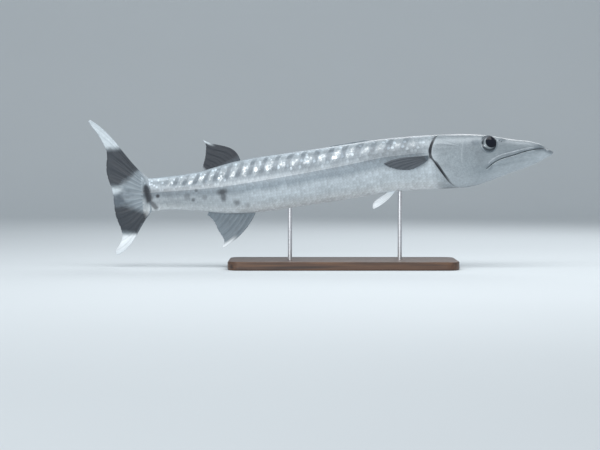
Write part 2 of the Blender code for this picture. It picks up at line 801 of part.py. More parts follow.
# Fins, each cut a gap clear of the body
fin_rings = [ring(station, swell=GAP) for station in [*torso_stations, *stem_stations[1:]]]
fin_guide = helper(body_length("fin_guide", fin_rings))
for word, side in (("right", -1), ("left", 1)):
    pectoral = pectoral_fin("pectoral_fin_" + word, side)
    boolean(pectoral, fin_guide, "DIFFERENCE")
    finish(pectoral, DARK_FIN)
    pelvic = pelvic_fin("pelvic_fin_" + word, side)
    boolean(pelvic, fin_guide, "DIFFERENCE")
    finish(pelvic, PALE_FIN)
front_fin = front_dorsal()
boolean(front_fin, fin_guide, "DIFFERENCE")
finish(front_fin, DARK_FIN)
rear = median_fin("dorsal_fin_rear", REAR_DORSAL, TOP, 1)
boolean(rear, fin_guide, "DIFFERENCE")
finish(rear, DARK_FIN)
anal = median_fin("anal_fin", ANAL, BOTTOM, -1)
boolean(anal, fin_guide, "DIFFERENCE")
finish(anal, DARK_FIN)
finish(caudal_fin(), DARK_FIN)

# The stand: each rod stands in a hole in the base and in a socket in the belly
base = stand_base()
for word, x in zip(("front", "rear"), ROD_PLACES):
    top = belly_height(x) + ROD_IN_BODY
    bottom = BASE_SIZE[2] - ROD_IN_BASE
    rod = cylinder("stand_rod_" + word, ROD_RADIUS, bottom, top, x)
    finish(rod, STEEL)
    hole = helper(cylinder("hole_" + word, ROD_RADIUS + GAP, bottom - GAP, top + GAP, x))
    boolean(torso, hole, "DIFFERENCE")
    boolean(base, hole, "DIFFERENCE")
finish(torso, SILVER_SKIN)
finish(base, WOOD)
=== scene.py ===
import math

import bmesh
import bpy
import numpy as np
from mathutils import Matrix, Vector


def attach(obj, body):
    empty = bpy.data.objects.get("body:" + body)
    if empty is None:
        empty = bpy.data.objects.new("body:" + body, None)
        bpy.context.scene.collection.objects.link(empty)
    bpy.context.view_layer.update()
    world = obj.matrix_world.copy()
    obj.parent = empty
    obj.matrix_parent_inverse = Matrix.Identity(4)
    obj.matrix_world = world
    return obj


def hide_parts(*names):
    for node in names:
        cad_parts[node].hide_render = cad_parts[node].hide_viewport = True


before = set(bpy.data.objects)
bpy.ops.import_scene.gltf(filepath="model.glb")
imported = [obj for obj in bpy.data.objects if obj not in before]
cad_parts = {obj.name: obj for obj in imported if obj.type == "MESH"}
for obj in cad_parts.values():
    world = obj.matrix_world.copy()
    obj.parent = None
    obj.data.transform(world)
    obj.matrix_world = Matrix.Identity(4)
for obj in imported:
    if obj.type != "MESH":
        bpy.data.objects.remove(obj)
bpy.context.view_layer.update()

# how the fish hangs over its base, the same as the solids
pose = {
    "pitch": math.radians(6.0),   # nose up
    "axisHeight": 0.222,          # body axis over the floor
    "balance": 0.500,             # distance behind the chin that stands over the base's middle
    "swayStart": 0.560,
    "swayEnd": 1.090,
    "sway": 0.014,                # how far the tail has swung to the left
}

# sizes of the body, in metres; back is the distance behind the chin, up is above the axis
body = {
    "chinLength": 0.008,
    "chinUp": 0.0008,
    "chinRound": 0.3,
    "chinShelf": 0.0006,
    "snoutBack": 0.017,
    "snoutBlunt": 0.020,
    "snoutNarrow": 0.35,
    "snoutTaper": 0.040,
    "snoutStep": 0.003,
    "mouthCorner": 0.167,
    "lipHeight": 0.0011,
    "lipCrease": 0.0004,
    "lipStretch": 18.0,
    "tailRoot": 0.958,
    "tailFlare": 0.90,            # how fast the tail's root spreads past the body's end
    "tailThin": 0.0209,           # in what length it thins to the fin's thickness
    "tailEnd": 0.0009,            # half of that thickness
    "coatDepth": 0.0004,          # the skin lies this far inside the solids, under the scales
    # back, top, bottom, half width, widest at, squareness above, squareness below
    "stations": [
        (0.000, 0.0040, -0.0060, 0.0060, 0.0008, 2.1, 2.0),
        (0.015, 0.0190, -0.0105, 0.0100, 0.0060, 2.1, 2.0),
        (0.030, 0.0236, -0.0172, 0.0136, 0.0085, 2.3, 2.0),
        (0.052, 0.0312, -0.0252, 0.0180, 0.0068, 2.6, 2.0),
        (0.080, 0.0374, -0.0330, 0.0226, 0.0020, 2.9, 2.0),
        (0.112, 0.0455, -0.0406, 0.0288, -0.0020, 3.3, 2.0),
        (0.146, 0.0546, -0.0500, 0.0352, -0.0040, 3.7, 2.0),
        (0.190, 0.0626, -0.0588, 0.0420, -0.0010, 3.1, 2.1),
        (0.238, 0.0677, -0.0606, 0.0468, 0.0030, 2.6, 2.2),
        (0.288, 0.0706, -0.0585, 0.0488, 0.0070, 2.4, 2.2),
        (0.340, 0.0724, -0.0550, 0.0496, 0.0095, 2.2, 2.2),
        (0.392, 0.0730, -0.0538, 0.0506, 0.0105, 2.1, 2.2),
        (0.470, 0.0700, -0.0588, 0.0520, 0.0080, 2.1, 2.2),
        (0.560, 0.0662, -0.0634, 0.0520, 0.0030, 2.1, 2.1),
        (0.650, 0.0630, -0.0674, 0.0500, -0.0010, 2.1, 2.1),
        (0.715, 0.0600, -0.0690, 0.0462, -0.0030, 2.1, 2.1),
        (0.760, 0.0550, -0.0666, 0.0410, -0.0050, 2.1, 2.1),
        (0.800, 0.0480, -0.0612, 0.0350, -0.0070, 2.1, 2.1),
        (0.840, 0.0412, -0.0530, 0.0290, -0.0060, 2.1, 2.1),
        (0.880, 0.0386, -0.0460, 0.0236, -0.0040, 2.2, 2.2),
        (0.920, 0.0380, -0.0416, 0.0182, -0.0020, 2.2, 2.2),
        (0.958, 0.0388, -0.0412, 0.0110, -0.0010, 2.3, 2.3),
    ],
    # the line that parts a section's upper half from its lower: the mouth, then the lateral line
    "parting": [
        (0.000, 0.0013), (0.006, 0.0064), (0.015, 0.0097), (0.028, 0.0110), (0.054, 0.0103),
        (0.080, 0.0064), (0.104, 0.0016), (0.126, -0.0024), (0.143, -0.0086), (0.156, -0.0162),
        (0.167, -0.0236), (0.190, -0.0180),
        (0.240, 0.0100), (0.297, 0.0285), (0.350, 0.0306), (0.408, 0.0292), (0.460, 0.0238),
        (0.530, 0.0172), (0.629, 0.0095), (0.708, 0.0044), (0.790, 0.0006), (0.860, 0.0010),
        (0.958, 0.0036),
    ],
}

# the gill cover: its rear edge's distance back against the share of the way from crown to belly
gill = {
    "station": 0.288,
    "edge": [
        (0.00, 0.2660), (0.10, 0.2670), (0.20, 0.2740), (0.30, 0.2815), (0.40, 0.2875), (0.50, 0.2905),
        (0.54, 0.2895), (0.58, 0.2840), (0.64, 0.2760), (0.72, 0.2652), (0.80, 0.2535), (0.88, 0.2380),
        (0.95, 0.2210), (1.00, 0.2100),
    ],
    "front": [(0.12, 0.226), (0.50, 0.221), (0.80, 0.230), (0.95, 0.248)],
    "reachAhead": 0.190,
    "reachBehind": 0.230,
    "flare": 0.0022,
    "rise": 0.060,
}


def curveThrough(points):
    # natural cubic spline through (x, y) points, for arrays of x
    xs = np.array([p[0] for p in points], float)
    ys = np.array([p[1] for p in points], float)
    count = len(xs)
    system = np.eye(count)
    target = np.zeros(count)
    for i in range(1, count - 1):
        before, after = xs[i] - xs[i - 1], xs[i + 1] - xs[i]
        system[i, i - 1:i + 2] = before, 2 * (before + after), after
        target[i] = 6 * ((ys[i + 1] - ys[i]) / after - (ys[i] - ys[i - 1]) / before)
    bend = np.linalg.solve(system, target)

    def value(x):
        x = np.clip(x, xs[0], xs[-1])
        i = np.clip(np.searchsorted(xs, x) - 1, 0, count - 2)
        step = xs[i + 1] - xs[i]
        a, b = (xs[i + 1] - x) / step, (x - xs[i]) / step
        pull = (a ** 3 - a) * bend[i] + (b ** 3 - b) * bend[i + 1]
        return a * ys[i] + b * ys[i + 1] + pull * step ** 2 / 6

    return value


def eased(x):
    x = np.clip(x, 0, 1)
    return x * x * (3 - 2 * x)


def blunt(x):
    return np.sqrt(1 - (1 - np.clip(x, 0, 1)) ** 2)


def bellAt(x, middle, width):
    return np.exp(-((x - middle) / width) ** 2)


def between(x, start, startRun, end, endRun):
    # eases in over startRun from start, and out over endRun from end
    return eased((x - start) / startRun) * (1 - eased((x - end) / endRun))


def blended(pair, share):
    return pair[0] + (pair[1] - pair[0]) * share


topAt, bottomAt, halfWidthAt, widestAt, squareAboveAt, squareBelowAt = [
    curveThrough([(row[0], row[k]) for row in body["stations"]]) for k in range(1, 7)
]
partingAt = curveThrough(body["parting"])
gillEdgeAt = curveThrough(gill["edge"])
gillFrontAt = curveThrough(gill["front"])


def sectionLine(back):
    # half of the body's outline at one place: side and up from crown to belly
    chin = blunt(back / body["chinLength"])
    parting = partingAt(back)
    snout = blunt((back - body["snoutBack"]) / body["snoutBlunt"])
    past = max(back - body["tailRoot"], 0.0)
    top = topAt(back) * snout + (parting - body["chinShelf"]) * (1 - snout)
    top += past * body["tailFlare"] - 0.0016 * bellAt(back, body["snoutBack"] + 0.0001, 0.0009)
    low = bottomAt(back) - past * body["tailFlare"]
    middle = min(widestAt(back), top - (top - low) * body["chinRound"])
    top, low, middle = [body["chinUp"] + (v - body["chinUp"]) * chin for v in (top, low, middle)]
    half = halfWidthAt(back) * chin
    thinned = min(past / body["tailThin"], 1.0)
    half += (body["tailEnd"] - half) * (eased(thinned) + 0.4 * thinned * (1 - thinned) ** 2)
    down = np.linspace(0, math.pi / 2, 70)
    rise = down[::-1][1:]
    upper, lower = squareAboveAt(back), squareBelowAt(back)
    side = np.concatenate([half * np.sin(down) ** (2 / upper), half * np.sin(rise) ** (2 / lower)])
    up = np.concatenate([
        middle + (top - middle) * np.abs(np.cos(down)) ** (2 / upper),
        middle + (low - middle) * np.abs(np.cos(rise)) ** (2 / lower),
    ])
    narrow = (1 - body["snoutNarrow"]) * (1 - blunt((back - body["snoutBack"]) / body["snoutTaper"]))
    side *= 1 - narrow * np.clip((up - parting + body["lipHeight"]) / body["snoutStep"], 0, 1)
    return side, up


# the body's surface, tabled over the distance back and the share from crown to belly
tableBacks = np.concatenate([np.linspace(0, 0.040, 201), np.linspace(0.040, 0.985, 766)[1:]])
tableShares = np.linspace(0, 1, 161)
tableSide = np.zeros((len(tableBacks), len(tableShares)))
tableUp = np.zeros_like(tableSide)
upperArc = np.zeros(len(tableBacks))
lowerArc = np.zeros(len(tableBacks))
for i, back in enumerate(tableBacks):
    side, up = sectionLine(back)
    run = np.concatenate([[0], np.cumsum(np.hypot(np.diff(side), np.diff(up)))])
    chin = blunt(back / body["chinLength"])
    level = body["chinUp"] + (partingAt(back) - body["chinUp"]) * chin
    parted = np.interp(-level, -up, run)
    upperArc[i], lowerArc[i] = parted, run[-1] - parted
    lengths = np.where(
        tableShares < 0.5, tableShares * 2 * parted, parted + (tableShares - 0.5) * 2 * lowerArc[i]
    )
    tableSide[i] = np.interp(lengths, run, side)
    tableUp[i] = np.interp(lengths, run, up)


def bodyAt(back, share):
    # side and up of the body's surface
    i = np.interp(back, tableBacks, np.arange(len(tableBacks)))
    j = np.clip(share, 0, 1) * (len(tableShares) - 1)
    i0, j0 = np.clip(i.astype(int), 0, len(tableBacks) - 2), np.clip(j.astype(int), 0, len(tableShares) - 2)
    a, b = i - i0, j - j0
    weights = ((1 - a) * (1 - b), (1 - a) * b, a * (1 - b), a * b)
    corners = ((i0, j0), (i0, j0 + 1), (i0 + 1, j0), (i0 + 1, j0 + 1))
    side = sum(w * tableSide[c] for w, c in zip(weights, corners))
    up = sum(w * tableUp[c] for w, c in zip(weights, corners))
    return side, up


def surfaceAt(back, share):
    # a point of the right half and its outward normal, each as back, side, up
    back, share = np.broadcast_arrays(np.asarray(back, float), np.asarray(share, float))
    stepBack, stepShare = 0.0012, 0.006
    side, up = bodyAt(back, share)
    points = np.stack([back, side, up], -1)
    nearSide, nearUp = bodyAt(back - stepBack, share)
    farSide, farUp = bodyAt(back + stepBack, share)
    along = np.stack([np.full_like(back, 2 * stepBack), farSide - nearSide, farUp - nearUp], -1)
    crownSide, crownUp = bodyAt(back, np.clip(share - stepShare, 0, 1))
    bellySide, bellyUp = bodyAt(back, np.clip(share + stepShare, 0, 1))
    down = np.stack([np.zeros_like(back), bellySide - crownSide, bellyUp - crownUp], -1)
    normal = np.cross(along, down)
    normal /= np.maximum(np.linalg.norm(normal, axis=-1, keepdims=True), 1e-9)
    return points, normal


def sideAt(back, up):
    # how far the skin is from the middle at a height, for scalars
    side, ups = sectionLine(back)
    return float(np.interp(-up, -ups, side))


def swayAt(back):
    share = np.clip((back - pose["swayStart"]) / (pose["swayEnd"] - pose["swayStart"]), 0, 1.2)
    return pose["sway"] * share ** 2


def toWorld(places, hand=1.0):
    # from back, side, up to the model's frame; hand is -1 for the fish's right side
    back, side, up = places[..., 0], places[..., 1] * hand, places[..., 2]
    ahead, left = pose["balance"] - back, side + swayAt(back)
    x = ahead * math.cos(pose["pitch"]) - up * math.sin(pose["pitch"])
    z = ahead * math.sin(pose["pitch"]) + up * math.cos(pose["pitch"]) + pose["axisHeight"]
    return np.stack([x, left, z], -1)


def warped(station, share):
    # rings near the gill follow its edge
    reach = np.where(station < gill["station"], gill["reachAhead"], gill["reachBehind"])
    near = np.minimum(np.abs(station - gill["station"]) / reach, 1)
    return station + (0.5 + 0.5 * np.cos(math.pi * near)) * (gillEdgeAt(share) - gill["station"])


def gridPiece(name, points, layers):
    # a grid bent to rows x columns of points; borders that meet are merged, so a rolled grid closes
    rows, columns = points.shape[:2]
    bm = bmesh.new()
    bmesh.ops.create_grid(bm, x_segments=columns - 1, y_segments=rows - 1, size=1)
    index = [
        (round((v.co.y + 1) / 2 * (rows - 1)), round((v.co.x + 1) / 2 * (columns - 1))) for v in bm.verts
    ]
    for label, values in layers.items():
        layer = bm.verts.layers.float.new(label)
        for vert, (i, j) in zip(bm.verts, index):
            vert[layer] = values[i, j]
    for vert, (i, j) in zip(bm.verts, index):
        vert.co = points[i, j]
    bmesh.ops.remove_doubles(bm, verts=bm.verts, dist=1e-6)
    bmesh.ops.dissolve_degenerate(bm, edges=bm.edges, dist=1e-7)
    bmesh.ops.recalc_face_normals(bm, faces=bm.faces)
    return newPiece(name, bm)


def newPiece(name, bm):
    mesh = bpy.data.meshes.new(name)
    bm.to_mesh(mesh)
    bm.free()
    mesh.shade_smooth()
    piece = bpy.data.objects.new(name, mesh)
    bpy.context.scene.collection.objects.link(piece)
    return piece


def dress(piece, material, slot, *nodes):
    piece.data.materials.clear()
    piece.data.materials.append(material)
    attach(piece, "root")
    if nodes:
        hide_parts(*nodes)
    print(piece.name, len(piece.data.polygons), "faces")
    return piece


# shader maths: an expression on wires adds its Math nodes
class Wire:
    def __init__(self, paint, socket):
        self.paint = paint
        self.socket = socket

    def math(self, operation, *others):
        values = dict(enumerate((self, *others)))
        return self.paint.node("ShaderNodeMath", {"operation": operation}, values)

    def __add__(self, other):
        return self.math("ADD", other)

    __radd__ = __add__

    def __mul__(self, other):
        return self.math("MULTIPLY", other)

    __rmul__ = __mul__

    def __sub__(self, other):
        return self.math("SUBTRACT", other)

    def __rsub__(self, other):
        return (self * -1).math("ADD", other)

    def __truediv__(self, other):
        return self.math("DIVIDE", other)

    def step(self, low, high):
        # 0 at low, 1 at high, smooth between; low may be above high
        settings = {"interpolation_type": "SMOOTHSTEP"}
        if low <= high:
            return self.paint.node("ShaderNodeMapRange", settings, {0: self, 1: low, 2: high})
        return 1 - self.paint.node("ShaderNodeMapRange", settings, {0: self, 1: high, 2: low})

    def bell(self, middle, width):
        # 1 at middle, falling to 0 a width away on either side
        return (self - middle).math("ABSOLUTE").step(width, 0)

    def larger(self, other):
        return self.math("MAXIMUM", other)


class Paint:
    def __init__(self, name, **fixed):
        self.material = bpy.data.materials.new(name)
        self.material.use_nodes = True
        self.tree = self.material.node_tree
        self.shader = self.tree.nodes["Principled BSDF"]
        for label, value in fixed.items():
            self.shader.inputs[label.replace("_", " ")].default_value = value

    def node(self, kind, settings=None, values=None, output=0):
        made = self.tree.nodes.new(kind)
        for label, value in (settings or {}).items():
            if label == "stops":
                self.setStops(made.color_ramp, value)
            else:
                setattr(made, label, value)
        for label, value in (values or {}).items():
            if isinstance(value, Wire):
                self.tree.links.new(value.socket, made.inputs[label])
            else:
                made.inputs[label].default_value = value
        return Wire(self, made.outputs[output])

    def setStops(self, ramp, stops):
        while len(ramp.elements) < len(stops):
            ramp.elements.new(0.5)
        for element, (place, colour) in zip(ramp.elements, stops):
            element.position = place
            element.color = (*colour, 1.0)

    def feed(self, **wires):
        for label, wire in wires.items():
            self.tree.links.new(wire.socket, self.shader.inputs[label.replace("_", " ")])

    def ramp(self, wire, stops):
        return self.node("ShaderNodeValToRGB", {"stops": stops}, {0: wire})

    def mix(self, factor, first, second):
        first, second = [c if isinstance(c, Wire) else (*c, 1.0) for c in (first, second)]
        return self.node("ShaderNodeMix", {"data_type": "RGBA"}, {0: factor, 6: first, 7: second}, 2)

    def brighter(self, colour, factor):
        # a colour times a value
        return self.node("ShaderNodeVectorMath", {"operation": "SCALE"}, {0: colour, 3: factor})

    def attribute(self, label):
        return self.node("ShaderNodeAttribute", {"attribute_name": label}, {}, 2)

    def noise(self, place, scale, detail=2.0, stretch=None):
        if stretch:
            place = self.node("ShaderNodeVectorMath", {"operation": "MULTIPLY"}, {0: place, 1: stretch})
        return self.node("ShaderNodeTexNoise", {}, {"Vector": place, "Scale": scale, "Detail": detail})

    def bump(self, height, strength, distance):
        values = {"Height": height, "Strength": strength, "Distance": distance}
        return self.node("ShaderNodeBump", {}, values)

    def coordinates(self):
        return self.node("ShaderNodeTexCoord", {}, {}, 3)

    def place(self):
        # Object coordinates turned into the fish's own frame
        turned = self.node("ShaderNodeMapping", {"vector_type": "TEXTURE"}, {
            "Vector": self.coordinates(),
            "Location": (0.0, 0.0, pose["axisHeight"]),
            "Rotation": (0.0, -pose["pitch"], 0.0),
        })
        ahead = self.node("ShaderNodeSeparateXYZ", {}, {0: turned})
        side, up = [Wire(self, ahead.socket.node.outputs[k]) for k in (1, 2)]
        return turned, pose["balance"] - ahead, side, up


# colours of the skin: silver with a cool blue cast, dark above and white below
skinLook = {
    "crown": (0.240, 0.288, 0.322),
    "backTone": (0.335, 0.390, 0.430),
    "upperFlank": (0.280, 0.326, 0.360),
    "silver": (0.288, 0.330, 0.362),
    # painted shade under the lateral line
    "shadeBand": (0.200, 0.248, 0.286),
    "lowerFlank": (0.490, 0.548, 0.590),
    "lowerShade": (0.510, 0.565, 0.600),
    "belly": (0.810, 0.860, 0.885),
    # dark tone of the bars and the lateral line, also used for painted shade on the head
    "barAndShadeTone": (0.085, 0.112, 0.138),
    "glint": (0.880, 0.925, 0.945),
    "ink": (0.016, 0.020, 0.027),
    "headTop": (0.150, 0.181, 0.204),
    "headSide": (0.222, 0.259, 0.285),
    "cheek": (0.268, 0.310, 0.338),
    "jaw": (0.350, 0.394, 0.424),
    "throat": (0.400, 0.446, 0.478),
    "rough": 0.33,
    "metal": 0.24,                # how metallic the flank's middle is
    # strengths of single shades
    "shadeBandStrength": 0.80,
    "sheenStripStrength": 0.05,
    "lineStrength": 0.50,         # the dark lateral line
    "crownSheen": 0.30,
    "shoulderDuller": 0.26,
    "napeLighter": 0.42,
    "rearDuller": 0.32,
    # how light the darkest and the lightest clouds are, single scales, and a scale's rim and middle
    "cloud": (0.80, 1.20),
    "scaleTint": (0.88, 1.12),
    "scaleCore": (0.86, 1.10),
    "sparkle": 0.60,
    "fibre": 0.50,
    "headShine": 0.25,
    "mouthShadow": 0.75,
    "coverShade": 0.55,
    "eyeRingShade": 0.45,
    "hollowShade": 0.92,
    "markStrength": 0.96,         # the tail fin's black marks
    "markSoft": (1.45, 0.35),     # where a mark's edge starts and ends, in its own size
    "markRagged": 0.7,
    "leftShift": (0.007, 0.004),  # how far the left side's marks are moved
    # the head's dusky upper jaw: corners of (back, up)
    "jawBone": [(0.080, 0.0180), (0.119, 0.0160), (0.142, 0.0020), (0.150, -0.0120), (0.080, 0.0050)],
    # its dark streaks, painted shade between and along the jaws: ends, half width, strength
    "streaks": [((0.001, -0.0015), (0.016, 0.0040), 0.0052, 0.50),
                ((0.008, 0.0045), (0.024, 0.0100), 0.0042, 0.40),
                ((0.024, 0.0100), (0.043, 0.0127), 0.0058, 0.50),
                ((0.043, 0.0127), (0.081, 0.0112), 0.0048, 0.30),
                ((0.081, 0.0112), (0.116, 0.0060), 0.0044, 0.08),
                ((0.116, 0.0060), (0.150, -0.0090), 0.0042, 0.04),
                ((0.045, -0.0095), (0.142, -0.0180), 0.0036, 0.14)],
    # its smudges, given like the marks
    "smudges": [(0.1850, 0.0420, 0.0120, 0.0085, 0.50), (0.1200, 0.0405, 0.0120, 0.0046, 0.60),
                (0.1580, -0.0160, 0.0120, 0.0130, 0.30), (0.0300, 0.0170, 0.0120, 0.0072, 0.45)],
    "firstBar": 0.339,
    "barSpacing": 0.0385,         # from one bar to the next behind the head
    "barShrink": 0.026,           # how much closer they get towards the tail, per metre
    "barSlant": 0.060,
    "spotShare": 0.315,           # where the bright spots sit between crown and lateral line
    # dark marks: back, up, half length, half height, strength; the last is painted shadow at the pectoral
    # fin's root
    "marks": [
        (0.7865, -0.0120, 0.0125, 0.0085, 0.80), (0.7850, -0.0230, 0.0080, 0.0140, 0.70),
        (0.7548, -0.0409, 0.0075, 0.0085, 0.50), (0.7297, -0.0495, 0.0070, 0.0070, 0.30),
        (0.8293, -0.0202, 0.0060, 0.0070, 0.42), (0.8568, -0.0232, 0.0045, 0.0050, 0.60),
        (0.8474, -0.0018, 0.0040, 0.0040, 0.55), (0.8701, -0.0147, 0.0075, 0.0090, 0.40),
        (0.9402, -0.0062, 0.0045, 0.0045, 0.95), (0.2985, 0.0185, 0.0080, 0.0050, 0.65),
    ],
    # the bars across the tail's root: back and up of their ends, half width, strength
    "rootBars": [((0.9660, 0.0150), (0.9620, -0.0130), 0.0088, 0.95),
                 ((0.9620, -0.0130), (0.9480, -0.0330), 0.0060, 0.70)],
    # the tail fin's black marks: (back, up) of their corners, taken round one way
    "upperMark": [(1.062, 0.117), (1.010, 0.1145), (0.976, 0.0620), (0.999, 0.0470), (1.026, 0.025),
                  (1.060, 0.031), (1.070, 0.064)],
    "lowerMark": [(1.062, -0.020), (1.0174, -0.0215), (0.970, -0.0440), (0.967, -0.0560),
                  (0.999, -0.0910), (1.050, -0.0780)],
}


def insideOf(back, up, corners, soft):
    # 1 inside a convex outline, 0 outside, with a soft edge
    middle = np.mean(corners, axis=0)
    depth = None
    for (x0, y0), (x1, y1) in zip(corners, corners[1:] + corners[:1]):
        length = math.hypot(x1 - x0, y1 - y0)
        nx, ny = (y1 - y0) / length, -(x1 - x0) / length
        if (middle[0] - x0) * nx + (middle[1] - y0) * ny < 0:
            nx, ny = -nx, -ny
        reach = back * nx + up * ny - (x0 * nx + y0 * ny)
        depth = reach if depth is None else depth.math("MINIMUM", reach)
    return depth.step(-soft, soft)


def lineDistance(back, up, start, end):
    # distance from the line between two places
    length = math.hypot(end[0] - start[0], end[1] - start[1])
    dirBack, dirUp = (end[0] - start[0]) / length, (end[1] - start[1]) / length
    down = (back - start[0]) * dirBack + (up - start[1]) * dirUp
    across = (back - start[0]) * -dirUp + (up - start[1]) * dirBack
    past = ((down - length / 2).math("ABSOLUTE") - length / 2).larger(0.0)
    return (across * across + past * past).math("SQRT")


def ovalDistance(back, up, middle, size=(1.0, 1.0)):
    # distance from a place, counted in an oval's half length and half height
    across, rise = (back - middle[0]) / size[0], (up - middle[1]) / size[1]
    return (across * across + rise * rise).math("SQRT")


def inkMarks(paint, turned, back, up, side):
    # soft-edged dark marks, one of them painted shadow at the pectoral fin's root; the left side's are
    # moved a little, as no two sides match
    shift = side.step(-0.001, 0.001)
    look, soft = skinLook, skinLook["markSoft"]
    along, level = back - shift * look["leftShift"][0], up + shift * look["leftShift"][1]
    ragged = (paint.noise(turned, 95.0) - 0.5) * look["markRagged"]
    marks = []
    for row in look["marks"]:
        marks.append((ovalDistance(along, level, row[:2], row[2:4]) + ragged).step(*soft) * row[4])
    for start, end, halfWidth, strength in look["rootBars"]:
        marks.append((lineDistance(back, up, start, end) / halfWidth + ragged).step(*soft) * strength)
    for corners in (look["upperMark"], look["lowerMark"]):
        inside = insideOf(back + ragged * 0.016, up + ragged * 0.016, corners, 0.009)
        marks.append(inside * look["markStrength"])
    ink = marks[0]
    for mark in marks[1:]:
        ink = ink.larger(mark)
    return ink


def headToneAndShade(paint, turned, back, up, share, colour):
    # the head's shades: its dusky marks, painted shade along the jaws and round the eye, and a painted
    # highlight along the top
    look = skinLook
    smudge = paint.noise(turned, 60.0, 3.0)
    # a painted highlight along the top of the snout and over the nape
    shine = share.bell(0.130, 0.060) * back.step(0.035, 0.055) * back.step(0.125, 0.105)
    shine = shine.larger(share.bell(0.075, 0.050) * back.step(0.160, 0.175) * back.step(0.235, 0.215))
    colour = paint.mix(shine * look["headShine"], colour, look["glint"])
    bone = insideOf(back, up, look["jawBone"], 0.0030) * (0.03 + smudge * 0.22)
    colour = paint.mix(bone, colour, look["barAndShadeTone"])
    # painted shade between and along the jaws
    for start, end, halfWidth, strength in look["streaks"]:
        away = lineDistance(back, up, start, end) / halfWidth + (smudge - 0.5) * 1.2
        colour = paint.mix(away.step(1.4, 0.2) * strength, colour, look["barAndShadeTone"])
    for row in look["smudges"]:
        away = ovalDistance(back, up, row[:2], row[2:4]) + (smudge - 0.5) * 1.2
        colour = paint.mix(away.step(1.3, 0.3) * row[4], colour, look["barAndShadeTone"])
    # painted shadow in the mouth's line between the jaws, out to their tip
    lip = share.bell(0.500, 0.045) * back.step(0.003, 0.014) * back.step(0.052, 0.028)
    colour = paint.mix(lip * look["mouthShadow"], colour, look["ink"])
    # the shade under the cover's lower edge
    under = share.bell(0.930, 0.038) * back.step(0.160, 0.205) * back.step(0.285, 0.262)
    colour = paint.mix(under * look["coverShade"], colour, look["barAndShadeTone"])
    # painted shade round the eye, where the skin dips into the socket
    ring = ovalDistance(back, up, (eyes["back"], eyes["up"])).bell(0.0200, 0.0030)
    return paint.mix(ring * look["eyeRingShade"], colour, look["barAndShadeTone"])


